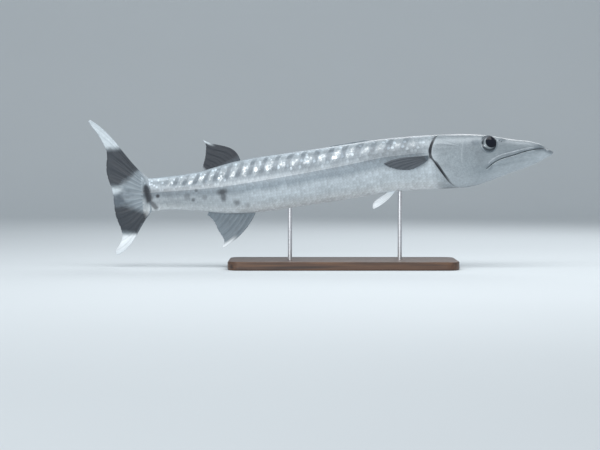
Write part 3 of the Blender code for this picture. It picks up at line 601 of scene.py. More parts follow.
def bodyPaint(name, scaly):
    paint = Paint(name, Coat_Weight=0.20, Coat_Roughness=0.16, Specular_IOR_Level=0.5)
    turned, back, side, up = paint.place()
    share, hollow, tint = [paint.attribute(label) for label in ("share", "hollow", "tint")]
    look = skinLook
    mottle = paint.noise(turned, 34.0, 3.0)
    waver = share + (paint.noise(turned, 12.0) - 0.5) * 0.03
    flank = paint.ramp(waver, [
        (0.00, look["crown"]), (0.14, look["backTone"]), (0.29, look["upperFlank"]), (0.44, look["silver"]),
        (0.66, look["lowerFlank"]), (0.76, look["lowerShade"]), (0.90, look["belly"]),
    ])
    cheek = paint.ramp(waver, [
        (0.00, look["headTop"]), (0.12, look["headSide"]), (0.30, look["headSide"]),
        (0.52, look["cheek"]), (0.74, look["jaw"]), (0.95, look["throat"]),
    ])
    head = headToneAndShade(paint, turned, back, up, share, cheek)
    colour = paint.mix(back.step(0.300, 0.262), flank, head)
    # a steel-blue band of painted shade under the lateral line, sharp above and soft below
    shadeBand = share.step(0.500, 0.507) * (share + (mottle - 0.5) * 0.04).step(0.655, 0.560)
    colour = paint.mix(shadeBand * back.step(0.290, 0.330) * look["shadeBandStrength"], colour, look["shadeBand"])
    # bright spots over the lateral line, painted glints where the silver scales catch the light, with dusky
    # slanting bars between them
    blur = paint.noise(turned, 30.0) - 0.5
    slid = back + (0.42 - share) * look["barSlant"] + blur * 0.012
    spacing = look["barSpacing"] - (slid - look["firstBar"]) * look["barShrink"]
    phase = (spacing / look["barSpacing"]).math("LOGARITHM", math.e) * (-1 / look["barShrink"])
    wave = (phase * (2 * math.pi)).math("COSINE")
    along = back.step(0.300, 0.345) * back.step(0.930, 0.905)
    bars = wave.step(0.10, -0.70) * share.step(0.06, 0.16) * share.step(0.44, 0.34) * along
    colour = paint.mix(bars * (mottle * 1.3 - 0.10), colour, look["barAndShadeTone"])
    speckle = paint.noise(turned, 190.0, 3.0)
    flecks = paint.noise(turned, 75.0)
    level = share.bell(look["spotShare"], 0.15) * 1.2 + (flecks - 0.5) * 3.6 + (speckle - 0.5) * 3.2
    spots = (wave * 0.75 + level).step(1.25, 2.60) * along * share.step(0.08, 0.20) * share.step(0.47, 0.40)
    spots = spots * (0.40 + back.step(0.38, 0.52) * back.step(0.93, 0.76) * 0.45) * (0.45 + tint * 0.9)
    colour = paint.mix(spots, colour, look["glint"])
    # a pale strip of painted sheen over the lateral line and a thin dark one along it
    strip = share.bell(0.470, 0.040) * back.step(0.40, 0.50)
    colour = paint.mix(strip * look["sheenStripStrength"], colour, look["glint"])
    line = share.bell(0.503, 0.007) * back.step(0.292, 0.31)
    colour = paint.mix(line * look["lineStrength"], colour, look["barAndShadeTone"])
    crown = share.bell(0.0, 0.03) * back.step(0.03, 0.06)
    colour = paint.mix(crown * look["crownSheen"], colour, look["silver"])
    # duller behind the head, and lighter along the middle of the back as painted light from above
    shoulder = share.bell(0.42, 0.24) * back.step(0.290, 0.330) * back.step(0.50, 0.40)
    nape = share.bell(0.10, 0.12) * back.step(0.40, 0.52)
    rear = share.step(0.38, 0.45) * back.step(0.66, 0.90)
    lighter = (1 - shoulder * look["shoulderDuller"]) * (1 + nape * look["napeLighter"])
    colour = paint.brighter(colour, lighter * (1 - rear * look["rearDuller"]))
    colour = paint.brighter(colour, blended(look["cloud"], mottle))
    if scaly:
        sparkle = tint.step(0.80, 0.97) * share.step(0.08, 0.20) * share.step(0.50, 0.36)
        colour = paint.brighter(colour, blended(look["scaleTint"], tint) + sparkle * look["sparkle"])
        colour = paint.brighter(colour, blended(look["scaleCore"], paint.attribute("core")))
    ink = inkMarks(paint, turned, back, up, side)
    colour = paint.mix(ink, colour, look["ink"])
    # painted shade in the hollows: the gill slit, the eye's socket, the nostrils and the mouth's crease
    colour = paint.mix(hollow * look["hollowShade"], colour, look["ink"])
    grain = paint.noise(turned, 900.0)
    if not scaly:
        # small scales of the cheek and the gill cover, fine streaks along the bones before them
        cells = paint.node("ShaderNodeTexVoronoi", {}, {"Vector": turned, "Scale": 300.0})
        cheeks = back.step(0.150, 0.185) * share.step(0.10, 0.22) * share.step(0.97, 0.88) * (1 - hollow)
        blotches = paint.noise(turned, 150.0, 4.0)
        fibres = paint.noise(turned, 520.0, 3.0, (0.10, 1.0, 1.0))
        colour = paint.brighter(colour, 0.86 + blotches * 0.28 + cheeks * (0.12 - cells * 0.26))
        colour = paint.brighter(colour, 1.0 + (1 - cheeks) * (fibres - 0.5) * look["fibre"])
        grain = grain * 0.5 - cells * cheeks * 2.2 + fibres * (1 - cheeks) * 0.9 + blotches * 0.8
    rough = look["rough"] + mottle * 0.16 + ink * 0.18 + hollow * 0.30
    metal = share.step(0.06, 0.30) * share.step(0.86, 0.60) * (1 - ink) * (1 - hollow)
    metal = metal * look["metal"] + 0.05
    paint.feed(Base_Color=colour, Roughness=rough, Metallic=metal, Normal=paint.bump(grain, 0.20, 0.0003))
    return paint.material


# the eyes
eyes = {
    "back": 0.1535,
    "up": 0.0352,
    "radius": 0.0208,
    "halfDepth": 0.0080,
    "sunk": 0.0044,
    "tilt": math.radians(13.0),
    "turn": math.radians(10.0),
    "rimRadius": 0.0186,
    "rimHeight": 0.0008,
    "pupilShift": (0.22, 0.11),   # ahead and up, in eye radii
    "pupilSize": 0.64,
    # colours of the iris against the distance from its middle, its dark outer ring being painted shadow
    # from the socket's rim, and of the pupil
    "iris": [(0.48, (0.235, 0.270, 0.290)), (0.60, (0.190, 0.220, 0.240)), (0.70, (0.050, 0.062, 0.074)),
             (0.80, (0.030, 0.038, 0.047)), (0.90, (0.100, 0.122, 0.140))],
    "pupil": (0.004, 0.006, 0.012),
    "irisLight": (0.70, 1.30),
    "irisMetal": 0.35,
}


def eyePlace(local):
    # from the eye's own frame (ahead, up, outward) to back, side, up
    ahead, lean, out = local[..., 0], local[..., 1], local[..., 2]
    up = out * math.sin(eyes["tilt"]) + lean * math.cos(eyes["tilt"])
    out = out * math.cos(eyes["tilt"]) - lean * math.sin(eyes["tilt"])
    forward = ahead * math.cos(eyes["turn"]) + out * math.sin(eyes["turn"])
    out = out * math.cos(eyes["turn"]) - ahead * math.sin(eyes["turn"])
    across = sideAt(eyes["back"], eyes["up"]) - eyes["sunk"]
    return np.stack([eyes["back"] - forward, across + out, eyes["up"] + up], -1)


eyeFrame = np.stack([eyePlace(np.eye(3)[k]) - eyePlace(np.zeros(3)) for k in range(3)])


def eyeDistance(points):
    # how far points are from the eye's axis, in its own plane
    away = points - eyePlace(np.zeros(3))
    return np.hypot(away @ eyeFrame[0], away @ eyeFrame[1])


skinMaterial = bodyPaint("fishSkin", False)
scaleMaterial = bodyPaint("fishScales", True)
print("stage 1: paints")

# what the skin has in relief, besides the body's form
relief = {
    "nostrils": [(0.1270, 0.0402), (0.1220, 0.0380)],
    "nostrilDepth": 0.0016,
    "nostrilWidth": 0.0013,
    "rim": 0.0003,                # low rims: round a nostril, round the socket
    "jawBone": 0.0008,
    "jawGroove": 0.0004,
    "jawWidth": (0.0048, 0.0098),
    "chinGroove": 0.00035,
    "throatFold": 0.00030,
    "foldPitch": 0.0050,
    "groove": 0.0005,             # between the cheek and the gill cover
    "plate": 0.0003,
    "fanRidge": 0.00016,
    "fanCount": 26,
    "socketDepth": 0.0046,
    # start, run, end and run of where a form lies, over the distance back
    "jawSpan": (0.024, 0.015, 0.154, 0.008),
    "chinSpan": (0.028, 0.012, 0.157, 0.020),
    # the same over the share from crown to belly
    "foldSpan": (0.80, 0.05, 0.975, 0.02),
    "coverSpan": (0.16, 0.05, 0.94, 0.03),
    "flareSpan": (0.085, 0.06, 0.950, 0.035),
}


def lipsAt(back, share):
    away = np.abs(share - 0.5) * 2 * body["lipStretch"]
    along = between(back, body["snoutBack"] + 0.002, 0.024, body["mouthCorner"] - 0.012, 0.016)
    ridge = away * np.exp(1 - away)
    return (body["lipHeight"] * ridge - body["lipCrease"] * np.exp(-((away * 2.5) ** 2))) * along


# how much painted shade the slit behind the gill cover gets over its dark membrane, against the share from
# crown to belly
slitShade = curveThrough([(0.0, 0.0), (0.12, 0.2), (0.20, 0.5), (0.27, 1.0), (0.50, 1.0), (0.555, 0.7),
                          (0.60, 1.0), (0.76, 0.9), (0.86, 0.4), (1.0, 0.1)])
# how far behind the cover's edge the slit is open
slitWidth = curveThrough([(0.0, -0.004), (0.085, -0.003), (0.14, 0.0035), (0.26, 0.0066), (0.50, 0.0068),
                          (0.60, 0.0050), (0.80, 0.0042), (0.93, 0.0020), (0.985, -0.003), (1.0, -0.004)])


def coverFade(share):
    return between(share, *relief["flareSpan"])


def reliefAt(station, share, points):
    # how far the skin stands out from the body's form, and how much painted shade its hollows get there
    back, up = points[..., 0], points[..., 2]
    rise = lipsAt(back, share)
    above = (0.5 - share) * 2 * np.interp(back, tableBacks, upperArc)
    below = (share - 0.5) * 2 * np.interp(back, tableBacks, lowerArc)
    # the upper jaw's bone: a strip over the lip that widens to a round end under the eye
    width = blended(relief["jawWidth"], np.clip((back - 0.03) / 0.12, 0, 1))
    ends = between(back, *relief["jawSpan"])
    rise += relief["jawBone"] * between(above, 0.0012, 0.0016, width, 0.0016) * ends
    rise -= relief["jawGroove"] * bellAt(above, width + 0.0016, 0.0011) * ends
    # the chin's groove, and folds of the gill membrane under the head
    rise -= relief["chinGroove"] * bellAt(below, 0.0095, 0.0012) * between(back, *relief["chinSpan"])
    folds = between(share, *relief["foldSpan"])
    folds *= eased((back - 0.095) / 0.03) * (1 - eased((station - 0.262) / 0.012))
    rise += relief["throatFold"] * np.sin(below / relief["foldPitch"] * 2 * math.pi) * folds
    # the cheek's edge, the cover's front edge and the rim that stands off the shoulder
    line = station - gillFrontAt(share)
    onCover = between(share, *relief["coverSpan"])
    rise -= relief["groove"] * bellAt(line, 0.0, 0.0016) * onCover
    rise += relief["plate"] * between(line, -0.014, 0.012, 0.0004, 0.0012) * onCover
    rise -= relief["plate"] * bellAt(line, -0.028, 0.0014) * onCover * eased((0.80 - share) / 0.1)
    behind = gillEdgeAt(share) - back
    flare = gill["flare"] * eased(1 - behind / gill["rise"]) * (station <= gill["station"])
    rise += flare * coverFade(share)
    # ridges that fan out over the cover
    fan = np.arctan2(share - 0.30, (station - 0.215) * 6)
    onPlate = eased((line - 0.004) / 0.01) * eased((gill["station"] - station) / 0.012) * onCover
    rise += relief["fanRidge"] * np.sin(fan * relief["fanCount"]) * onPlate
    # the socket: the skin dips under the eyeball inside a low rim
    away, rim = eyeDistance(points), eyes["rimRadius"]
    rise -= relief["socketDepth"] * (1 - eased((away - rim + 0.0052) / 0.0044))
    rise += eyes["rimHeight"] * bellAt(away, rim, 0.0014)
    rise -= relief["rim"] * bellAt(away, rim + 0.0034, 0.0016)
    # painted shade in the gap round the eyeball
    hollow = 0.85 * (1 - eased((away - rim + 0.0018) / 0.0012))
    for place, level in relief["nostrils"]:
        near = np.hypot(back - place, up - level)
        rise -= relief["nostrilDepth"] * bellAt(near, 0.0, relief["nostrilWidth"])
        rise += relief["rim"] * bellAt(near, 0.0024, 0.0008)
        # painted shade in the nostril's pit
        hollow = np.maximum(hollow, 0.9 * np.exp(-((near / 0.0012) ** 4)))
    return rise, hollow


# the skin: one closed sheet rolled round the body, from the chin to the tail's root
skin = {
    "mouthDepth": 0.0050,
    "mouthGap": 0.0009,
    "tipSmooth": 0.6,
    "tipRounds": 22,
}
# share, how far into the mouth and how far up: five lines of the ring fold into the mouth
mouthFold = [
    (-0.012, 0.0, 1.0), (-0.006, 0.35, 0.9), (0.0, 1.0, 0.0), (0.006, 0.35, -0.9), (0.012, 0.0, -1.0),
]
# rings fold in under the gill cover: after its edge, distance back moved, depth and darkness, the painted
# shade in the slit
slitFold = [
    (0.0006, -0.0007, -0.0004, 0.30), (0.0012, -0.0050, 0.0012, 1.0), (0.0018, -0.0048, 0.0026, 1.0),
    (0.0024, -0.0012, 0.0027, 1.0), (0.0031, 0.0002, 0.0026, 1.0), (0.0040, 0.0014, 0.0021, 1.0),
    (0.0050, 0.0018, 0.0013, 1.0), (0.0062, 0.0016, 0.0006, 1.0), (0.0076, 0.0012, 0.0001, 0.8),
    (0.0090, 0.0006, 0.0, 0.0),
]


def ringShares():
    upper = np.concatenate([
        np.linspace(0, 0.15, 13), np.linspace(0.15, 0.41, 44)[1:], np.linspace(0.41, 0.482, 11)[1:],
    ])
    lower = np.concatenate([np.linspace(0.518, 0.60, 11), np.linspace(0.60, 1.0, 30)[1:]])
    return upper, lower


def skinRings():
    stations = np.concatenate([
        [0.0], np.linspace(0.0004, 0.0150, 16), np.linspace(0.0155, 0.0220, 16),
        np.linspace(0.0231, 0.115, 62), np.linspace(0.1162, 0.1312, 18),
        np.linspace(0.1324, 0.178, 36), np.linspace(0.180, 0.2800, 56),
        [0.2815, 0.2828, 0.2840, 0.2850, 0.2860, 0.2870, gill["station"]],
    ])
    rings = [(station, 0.0, 0.0, 0.0) for station in stations]
    rings += [(gill["station"] + ahead, shift, depth, dark) for ahead, shift, depth, dark in slitFold]
    behind = np.concatenate([np.linspace(0.2995, 0.955, 150), np.linspace(0.958, 0.980, 12)])
    return rings + [(station, 0.0, 0.0, 0.0) for station in behind]


def buildSkin():
    upper, lower = ringShares()
    fold = np.array(mouthFold).T
    shares = np.concatenate([upper, 0.5 + fold[0], lower])
    lines = (fold[1], fold[2], np.ones(len(mouthFold)))
    inward, lifted, folded = [np.concatenate([0 * upper, values, 0 * lower]) for values in lines]
    rings = np.array(skinRings())
    station, share = np.meshgrid(rings[:, 0], shares, indexing="ij")
    shift, depth, dark = [rings[:, k][:, None] for k in (1, 2, 3)]
    fade = coverFade(share)
    back = warped(station, share) + shift * fade
    ahead = eased((back - body["snoutBack"] + 0.0005) / 0.010)
    corner = (1 - eased((back - body["mouthCorner"] + 0.007) / 0.007)) * folded
    mouth = ahead * corner
    flatShare = share * (1 - mouth) + 0.5 * mouth
    points, normal = surfaceAt(back, flatShare)
    beyond = station > gill["station"]
    rise, hollow = reliefAt(np.minimum(station, gill["station"]) + beyond, flatShare, points)
    rise = rise - depth * fade - body["coatDepth"]
    # painted shade in the open slit behind the cover, and along the cover's edge over the pectoral fin
    past = back - gillEdgeAt(share)
    shade = slitShade(share)
    opened = 1 - eased((past - slitWidth(share) + 0.0006) / 0.0008)
    hollow = np.maximum(hollow, dark * fade * (0.25 + 0.75 * shade) * opened)
    rim = (1 - eased((-past - 0.0028) / 0.0022)) * eased((share - 0.555) / 0.04) * (past <= 0)
    hollow = np.maximum(hollow, 0.85 * rim * shade * (1 - eased((share - 0.74) / 0.10)))
    points = points + normal * rise[..., None]
    points[..., 1] -= skin["mouthDepth"] * inward * mouth * eased(back / 0.03)
    points[..., 2] += skin["mouthGap"] / 2 * lifted * mouth
    # painted shade in the mouth's crease, darkest on its middle line
    dusky = eased((back - body["snoutBack"]) / 0.004) * corner
    hollow = np.maximum(hollow, dusky * (0.12 + 0.88 * inward))
    points[..., 1] = np.maximum(points[..., 1], 0)
    points[:, 0, 1] = points[:, -1, 1] = 0
    # the creases where the jaws part at the snout's tip are smoothed out
    soft = skin["tipSmooth"] * bellAt(back[1:-1], body["snoutBack"] + 0.0015, 0.0055)[..., None]
    mirror = np.array([1.0, -1.0, 1.0])
    for k in range(skin["tipRounds"]):
        wide = np.concatenate([points[:, 1:2] * mirror, points, points[:, -2:-1] * mirror], axis=1)
        near = wide[:-2, 1:-1] + wide[2:, 1:-1] + wide[1:-1, :-2] + wide[1:-1, 2:]
        points[1:-1] += (near / 4 - points[1:-1]) * soft
    points[0] = (0.0, 0.0, body["chinUp"])
    # the last ring closes inside the tail's root
    last = points[-1:] * (1.0, 0.3, 0.3)
    points = np.concatenate([points, last, last * (1.0, 0.0, 0.0)])
    right, left = toWorld(points, -1.0), toWorld(points[:, ::-1], 1.0)
    around = np.concatenate([right, left[:, 1:]], axis=1)
    layers = {}
    for label, values in (("share", share), ("hollow", hollow)):
        values = np.concatenate([values, values[-1:], values[-1:]])
        layers[label] = np.concatenate([values, values[:, -2::-1]], axis=1)
    layers["tint"] = np.full_like(layers["share"], 0.5)
    return gridPiece("skin", around, layers)


dress(buildSkin(), skinMaterial, "body_skin", "head", "lower_jaw", "gill_cover_right", "gill_cover_left",
      "torso", "tail_stem")
print("stage 2: skin")

# the scales: 26 rows from crown to belly on each side, one of them along the lateral line
scales = {
    "above": 10,                  # rows from the crown to the lateral line
    "below": 15,
    "pitch": (0.0086, 0.0052),    # from one scale to the next, at the gills and at the tail
    "end": 0.973,
    "overlap": 1.34,              # how much wider a scale is than its row
    "reach": 1.30,                # how much longer it is than its pitch
    "thick": (-0.0003, 0.00038),  # height of its root and of its free edge over the skin
    "apex": -0.0006,
    "uneven": 0.05,
    "slip": 0.015,                # how unevenly they sit, in pitches
    "tilt": 0.25,                 # how much thicker the palest is than the darkest
    "tailSmaller": 0.35,          # how much smaller the last rows are
    "turn": -0.8,                 # how far a row is moved back, in pitches
    "patch": 0.003,               # a scale's size on its map
    "seed": 7,
}
# a scale's rim: along from its root, across from its middle, how far it has risen
scaleRim = [
    (-0.10, 0.0, 0.0), (0.05, 0.62, 0.0), (0.30, 0.92, 0.30), (0.58, 1.0, 0.62), (0.82, 0.80, 0.86),
    (0.96, 0.44, 1.0), (1.0, 0.0, 1.0), (0.96, -0.44, 1.0), (0.82, -0.80, 0.86), (0.58, -1.0, 0.62),
    (0.30, -0.92, 0.30), (0.05, -0.62, 0.0),
]


def scalePlaces(first, last):
    # back and share of every scale's root in rows first..last, and its row's height as a share
    edges = [0.5 / scales["above"]] * scales["above"] + [0.5 / scales["below"]] * scales["below"]
    levels = np.concatenate([[0], np.cumsum(edges)])
    places = []
    for row in range(first, last + 1):
        share = levels[row]
        reach = (edges[max(row - 1, 0)] + edges[min(row, len(edges) - 1)]) / 2
        back = float(gillEdgeAt(share) + slitWidth(share))
        turn = 0.5 * (row % 2) + scales["turn"]
        while back < scales["end"]:
            along = (back - 0.288) / (scales["end"] - 0.288)
            pitch = blended(scales["pitch"], max(along, 0))
            pitch *= 1 - scales["tailSmaller"] * float(eased((back - 0.94) / 0.03))
            places.append((back + turn * pitch, share, reach, pitch))
            back += pitch
    return np.array(places)


def buildScales(name, hand, first, last):
    places = scalePlaces(first, last)
    dice = np.random.default_rng(scales["seed"] + int(hand))
    places[:, 0] += dice.normal(0, scales["slip"], len(places)) * places[:, 3]
    size = 1 + dice.normal(0, scales["uneven"], len(places))
    tint = dice.random(len(places))
    rim = np.array(scaleRim + [(0.60, 0.0, 0.86), (0.35, 0.0, 0.0)])
    along, across, risen = rim.T
    backs = places[:, 0, None] + along * (places[:, 3] * scales["reach"] * size)[:, None]
    shares = places[:, 1, None] + across * (places[:, 2] * scales["overlap"] * 0.5 * size)[:, None]
    mirrored = np.where(shares < 0, -1.0, 1.0) * np.where(shares > 1, -1.0, 1.0)
    inside = np.where(shares < 0, -shares, np.where(shares > 1, 2 - shares, shares))
    backs = np.maximum(backs, gillEdgeAt(inside) + slitWidth(inside))
    points, normal = surfaceAt(backs, inside)
    height = blended(scales["thick"], risen) * (1 + scales["tilt"] * (tint - 0.5))[:, None]
    height -= body["coatDepth"]
    height[:, -1] = scales["apex"] - body["coatDepth"]
    fade = 1 - eased((backs - 0.955) / 0.025)
    height = height * fade + (1 - fade) * (0.4 * height - 0.0002)
    points = points + normal * height[..., None]
    points[..., 1] *= mirrored
    # every scale is two fans: from its middle over the rim, and from the apex under it
    count, rimCount, size = len(places), len(scaleRim), rim.shape[0]
    ring = np.arange(rimCount)
    after = (ring + 1) % rimCount
    top = np.stack([np.full(rimCount, rimCount), ring, after], -1)
    under = np.stack([np.full(rimCount, rimCount + 1), after, ring], -1)
    fan = np.concatenate([top, under])
    if hand > 0:
        fan = fan[:, ::-1]
    faces = (fan[None] + (np.arange(count) * size)[:, None, None]).reshape(-1, 3)
    mesh = bpy.data.meshes.new(name)
    mesh.from_pydata(toWorld(points, hand).reshape(-1, 3).tolist(), [], faces.tolist())
    edge = np.clip(1 - np.hypot((along - 0.45) / 0.55, across), 0, 1)
    layers = {
        "share": inside, "tint": np.repeat(tint[:, None], size, 1), "hollow": np.zeros_like(inside),
        "core": np.repeat(edge[None], count, 0),
    }
    for label, values in layers.items():
        mesh.attributes.new(label, "FLOAT", "POINT").data.foreach_set("value", values.ravel())
    # each scale is a small patch at its root's place on the unrolled skin
    rootU = 0.02 + 0.96 * (places[:, 0, None] - 0.2) / (1.0 - 0.2)
    rootV = 0.02 + 0.96 * places[:, 1, None]
    patch = scales["patch"]
    unrolled = np.stack([rootU + (along - 0.5) * patch, rootV + across * patch / 2], -1).reshape(-1, 2)
    layer = mesh.uv_layers.new(name="OFBake")
    layer.data.foreach_set("uv", unrolled[faces.ravel()].ravel())
    mesh.shade_smooth()
    mesh.set_sharp_from_angle(angle=math.radians(60))
    piece = bpy.data.objects.new(name, mesh)
    bpy.context.scene.collection.objects.link(piece)
    return piece


lastRow = scales["above"] + scales["below"]
dress(buildScales("scales_right", -1.0, 0, lastRow), scaleMaterial, "body_skin")
dress(buildScales("scales_left", 1.0, 1, lastRow - 1), scaleMaterial, "body_skin")
print("stage 3: scales")

# the fins: back and up of each root and outer margin, from the leading ray to the last; a root that
# sits on the body's outline has only its ends' distance back, and how far off the outline it is
fins = {
    "rear_dorsal": {
        "rays": 10, "root": (0.7370, 0.8230), "sits": (topAt, -0.005), "rayHalf": 0.0011,
        "baseHalf": 0.0024, "bow": (0.129, 0.0), "skew": (-0.147, 0.0),
        "margin": [(0.0, 0.8200, 0.1150), (0.12, 0.8155, 0.1040), (0.28, 0.8160, 0.0930),
                   (0.5, 0.8185, 0.0790), (0.75, 0.8235, 0.0640), (1.0, 0.8285, 0.0510)],
    },
    "anal": {
        "rays": 10, "root": (0.7115, 0.8230), "sits": (bottomAt, 0.005), "rayHalf": 0.0011,
        "baseHalf": 0.0024, "bow": (-0.090, 0.0), "skew": (0.0, 0.0),
        "margin": [(0.0, 0.8030, -0.1450), (0.12, 0.7965, -0.1320), (0.28, 0.7995, -0.1170),
                   (0.5, 0.8080, -0.1000), (0.75, 0.8150, -0.0800), (1.0, 0.8290, -0.0630)],
    },
    "front_dorsal": {
        "rays": 5, "root": (0.4060, 0.4980), "sits": (topAt, -0.005), "rayHalf": 0.0014,
        "baseHalf": 0.0022, "bow": (0.0, 0.0), "skew": (0.0, 0.0), "forking": 0.2, "notch": 0.0004,
        "rise": (0.0030, 0.0012), "sweep": (0.0360, 0.0280),
    },
    "pelvic": {
        "rays": 6, "root": (0.3790, 0.3925), "sits": (bottomAt, 0.0045), "rayHalf": 0.0009,
        "baseHalf": 0.0018, "bow": (-0.075, 0.0), "skew": (0.0, 0.0),
        "margin": [(0.0, 0.4376, -0.0890), (0.4, 0.4365, -0.0785), (0.7, 0.4300, -0.0710),
                   (1.0, 0.4180, -0.0640)],
        "side": 0.0120, "splay": 0.22,
    },
    "pectoral": {
        "rays": 12, "rayHalf": 0.0009, "baseHalf": 0.0024, "bow": (0.048, -0.03), "skew": (0.040, 0.0),
        "root": [(0.0, 0.2970, 0.0235), (1.0, 0.2980, 0.0145)],
        "margin": [(0.0, 0.4045, 0.0148), (0.3, 0.3950, 0.0075), (0.5, 0.3810, 0.0008),
                   (0.7, 0.3620, -0.0040), (0.85, 0.3430, -0.0052), (1.0, 0.3255, -0.0010)],
        "sunk": 0.0040, "leave": 0.09, "clear": 0.0042, "lift": 0.0070,
    },
    "caudal": {
        "rays": 17, "rayHalf": 0.0013, "bow": (0.013, -0.050), "skew": (0.054, -0.077),
        "curl": (-0.012, 0.020),
        "root": [(0.0, 0.9583, 0.0383), (1.0, 0.9583, -0.0407)],
        "margin": [(0.00, 1.0800, 0.1893), (0.035, 1.0850, 0.1860), (0.09, 1.0717, 0.1633),
                   (0.16, 1.0585, 0.1355), (0.22, 1.0515, 0.1150), (0.32, 1.0542, 0.0840),
                   (0.40, 1.0560, 0.0560), (0.46, 1.0510, 0.0325), (0.50, 1.0480, 0.0155),
                   (0.54, 1.0472, -0.0015), (0.60, 1.0475, -0.0200), (0.70, 1.0455, -0.0480),
                   (0.79, 1.0385, -0.0745), (0.85, 1.0372, -0.0905), (0.91, 1.0440, -0.1085),
                   (0.965, 1.0575, -0.1280), (1.00, 1.0545, -0.1360)],
    },
}
rays = {
    "spread": 0.22,
    "columns": 14,                # points across one ray
    "rows": 44,
    # where a ray parts in two, in what length, and how far apart; then where each part does again
    "forks": [(0.34, 0.5, 0.20), (0.66, 0.3, 0.10)],
    "rayWidth": (0.20, 0.10),
    "membraneHalf": 0.00040,
    "edgeHalf": 0.00024,
    "baseShare": 0.17,
    "notch": 0.0016,              # how far the membrane is cut in between rays, unless a fin says
    "ripple": 0.00035,
}


def pathThrough(knots):
    back = curveThrough([(k[0], k[1]) for k in knots])
    up = curveThrough([(k[0], k[2]) for k in knots])
    return lambda share: np.stack([back(share), up(share)], -1)


def rayProfile(phase, t):
    # 1 on the crest of a ray, which forks twice on its way out
    near = phase - np.round(phase)
    first, second = [apart * eased((t - start) / run) for start, run, apart in rays["forks"]]
    width = blended(rays["rayWidth"], eased((t - 0.3) / 0.6))
    crest = np.zeros_like(near + t)
    for one in (-1, 1):
        for two in (-1, 1):
            crest = np.maximum(crest, bellAt(near, one * first + two * second, width))
    return crest


def rootOf(fin):
    if "sits" not in fin:
        return pathThrough(fin["root"])
    outline, off = fin["sits"]

    def root(share):
        back = blended(fin["root"], share)
        return np.stack([back, outline(back) + off], -1)

    return root


def buildFin(name, label, middle=None, margin=None, baseHalf=None):
    # middle gives the side of the blade's middle, baseHalf half of its thickness at the root
    fin = fins[label]
    margin = margin or pathThrough(fin["margin"])
    notch = fin.get("notch", rays["notch"])
    shares = np.linspace(0, 1, fin["rays"] * rays["columns"] + 1)
    t = np.linspace(0, 1, rays["rows"])[:, None] ** 1.15
    foot = rays["spread"] / fin["rays"]
    phase = (shares - foot) / (1 - 2 * foot) * (fin["rays"] - 1)
    crest = rayProfile(phase[None], t * fin.get("forking", 1.0))
    start, end = rootOf(fin)(shares), margin(shares)
    along = end - start
    length = np.linalg.norm(along, axis=-1, keepdims=True)
    cut = notch * (1 - crest[-1][:, None]) * np.clip(np.sin(math.pi * shares) * 6, 0, 1)[:, None]
    end = end - along / length * cut
    along = end - start
    bow, skew = blended(fin["bow"], shares), blended(fin["skew"], shares)
    across = np.stack([-along[:, 1], along[:, 0]], -1)
    curve = ((bow + skew * (2 * t - 1)) * 4 * t * (1 - t))[..., None]
    places = start[None] + along[None] * t[..., None] + across[None] * curve
    back, up = places[..., 0], places[..., 1]
    share = np.broadcast_to(shares[None], back.shape)
    tAll = np.broadcast_to(t, back.shape)
    full = rays["membraneHalf"] + (fin["rayHalf"] - rays["membraneHalf"]) * crest
    blade = full + (rays["edgeHalf"] - full) * tAll ** 1.3
    blend = eased(tAll / rays["baseShare"])
    half = (baseHalf(share) if baseHalf else fin["baseHalf"]) * (1 - blend) + blade * blend
    half = half * blunt(np.minimum(share, 1 - share) / (0.5 * foot))
    side = rays["ripple"] * np.cos(math.pi * phase[None]) * eased((tAll - 0.1) / 0.6)
    if middle:
        side = side + middle(back, up, share, tAll)
    near = np.stack([back, side - half, up], -1)
    far = np.stack([back, side + half, up], -1)
    around = np.concatenate([near, far[:, -2::-1]], axis=1)
    centre = np.stack([back, side, up], -1)
    shut = np.concatenate([centre, centre[:, -2::-1]], axis=1)
    points = toWorld(np.concatenate([shut[:1], around, shut[-1:]]))
    mirror = [np.concatenate([v, v[:, -2::-1]], axis=1) for v in (share, tAll, crest)]
    across, outward, ridge = [np.concatenate([v[:1], v, v[-1:]]) for v in mirror]
    return gridPiece(name, points, {"across": across, "outward": outward, "ridge": ridge})


def frontDorsal():
    fin = fins["front_dorsal"]

    def margin(share):
        back = blended(fin["root"], share) + blended(fin["sweep"], share)
        return np.stack([back, topAt(back) + blended(fin["rise"], share)], -1)

    return buildFin("front_dorsal", "front_dorsal", margin=margin)


def pelvicFin(name, hand):
    fin = fins["pelvic"]

    def middle(back, up, share, t):
        return hand * (fin["side"] + fin["splay"] * (bottomAt(fin["root"][0]) - up))

    return buildFin(name, "pelvic", middle)


def pectoralFin(name, hand):
    fin = fins["pectoral"]
    flankAt = np.vectorize(sideAt)

    def middle(back, up, share, t):
        leave = eased(t / fin["leave"])
        standOff = fin["clear"] * leave - fin["sunk"] * (1 - leave) + fin["lift"] * t
        return hand * (flankAt(back, up) + standOff)

    return buildFin(name, "pectoral", middle)


def caudalFin():
    fin = fins["caudal"]
    root = rootOf(fin)
    rootHalf = np.vectorize(sideAt)

    def baseHalf(share):
        row = rootHalf(body["tailRoot"], root(share[0])[:, 1])
        return np.maximum(row, rays["membraneHalf"])[None]

    def middle(back, up, share, t):
        upper, lower = fin["curl"]
        lobe = upper * np.clip(1 - 2 * share, 0, 1) ** 1.5 + lower * np.clip(2 * share - 1, 0, 1) ** 1.5
        return lobe * t ** 2

    return buildFin("caudal", "caudal", middle, baseHalf=baseHalf)


# colours of the fins
finLook = {
    "steel": (0.125, 0.158, 0.187),
    "mid": (0.215, 0.255, 0.285),
    "black": (0.036, 0.042, 0.051),
    "dusk": (0.066, 0.085, 0.105),
    "ink": (0.062, 0.073, 0.086),
    "pale": (0.560, 0.625, 0.665),
    "white": (0.700, 0.745, 0.774),
}


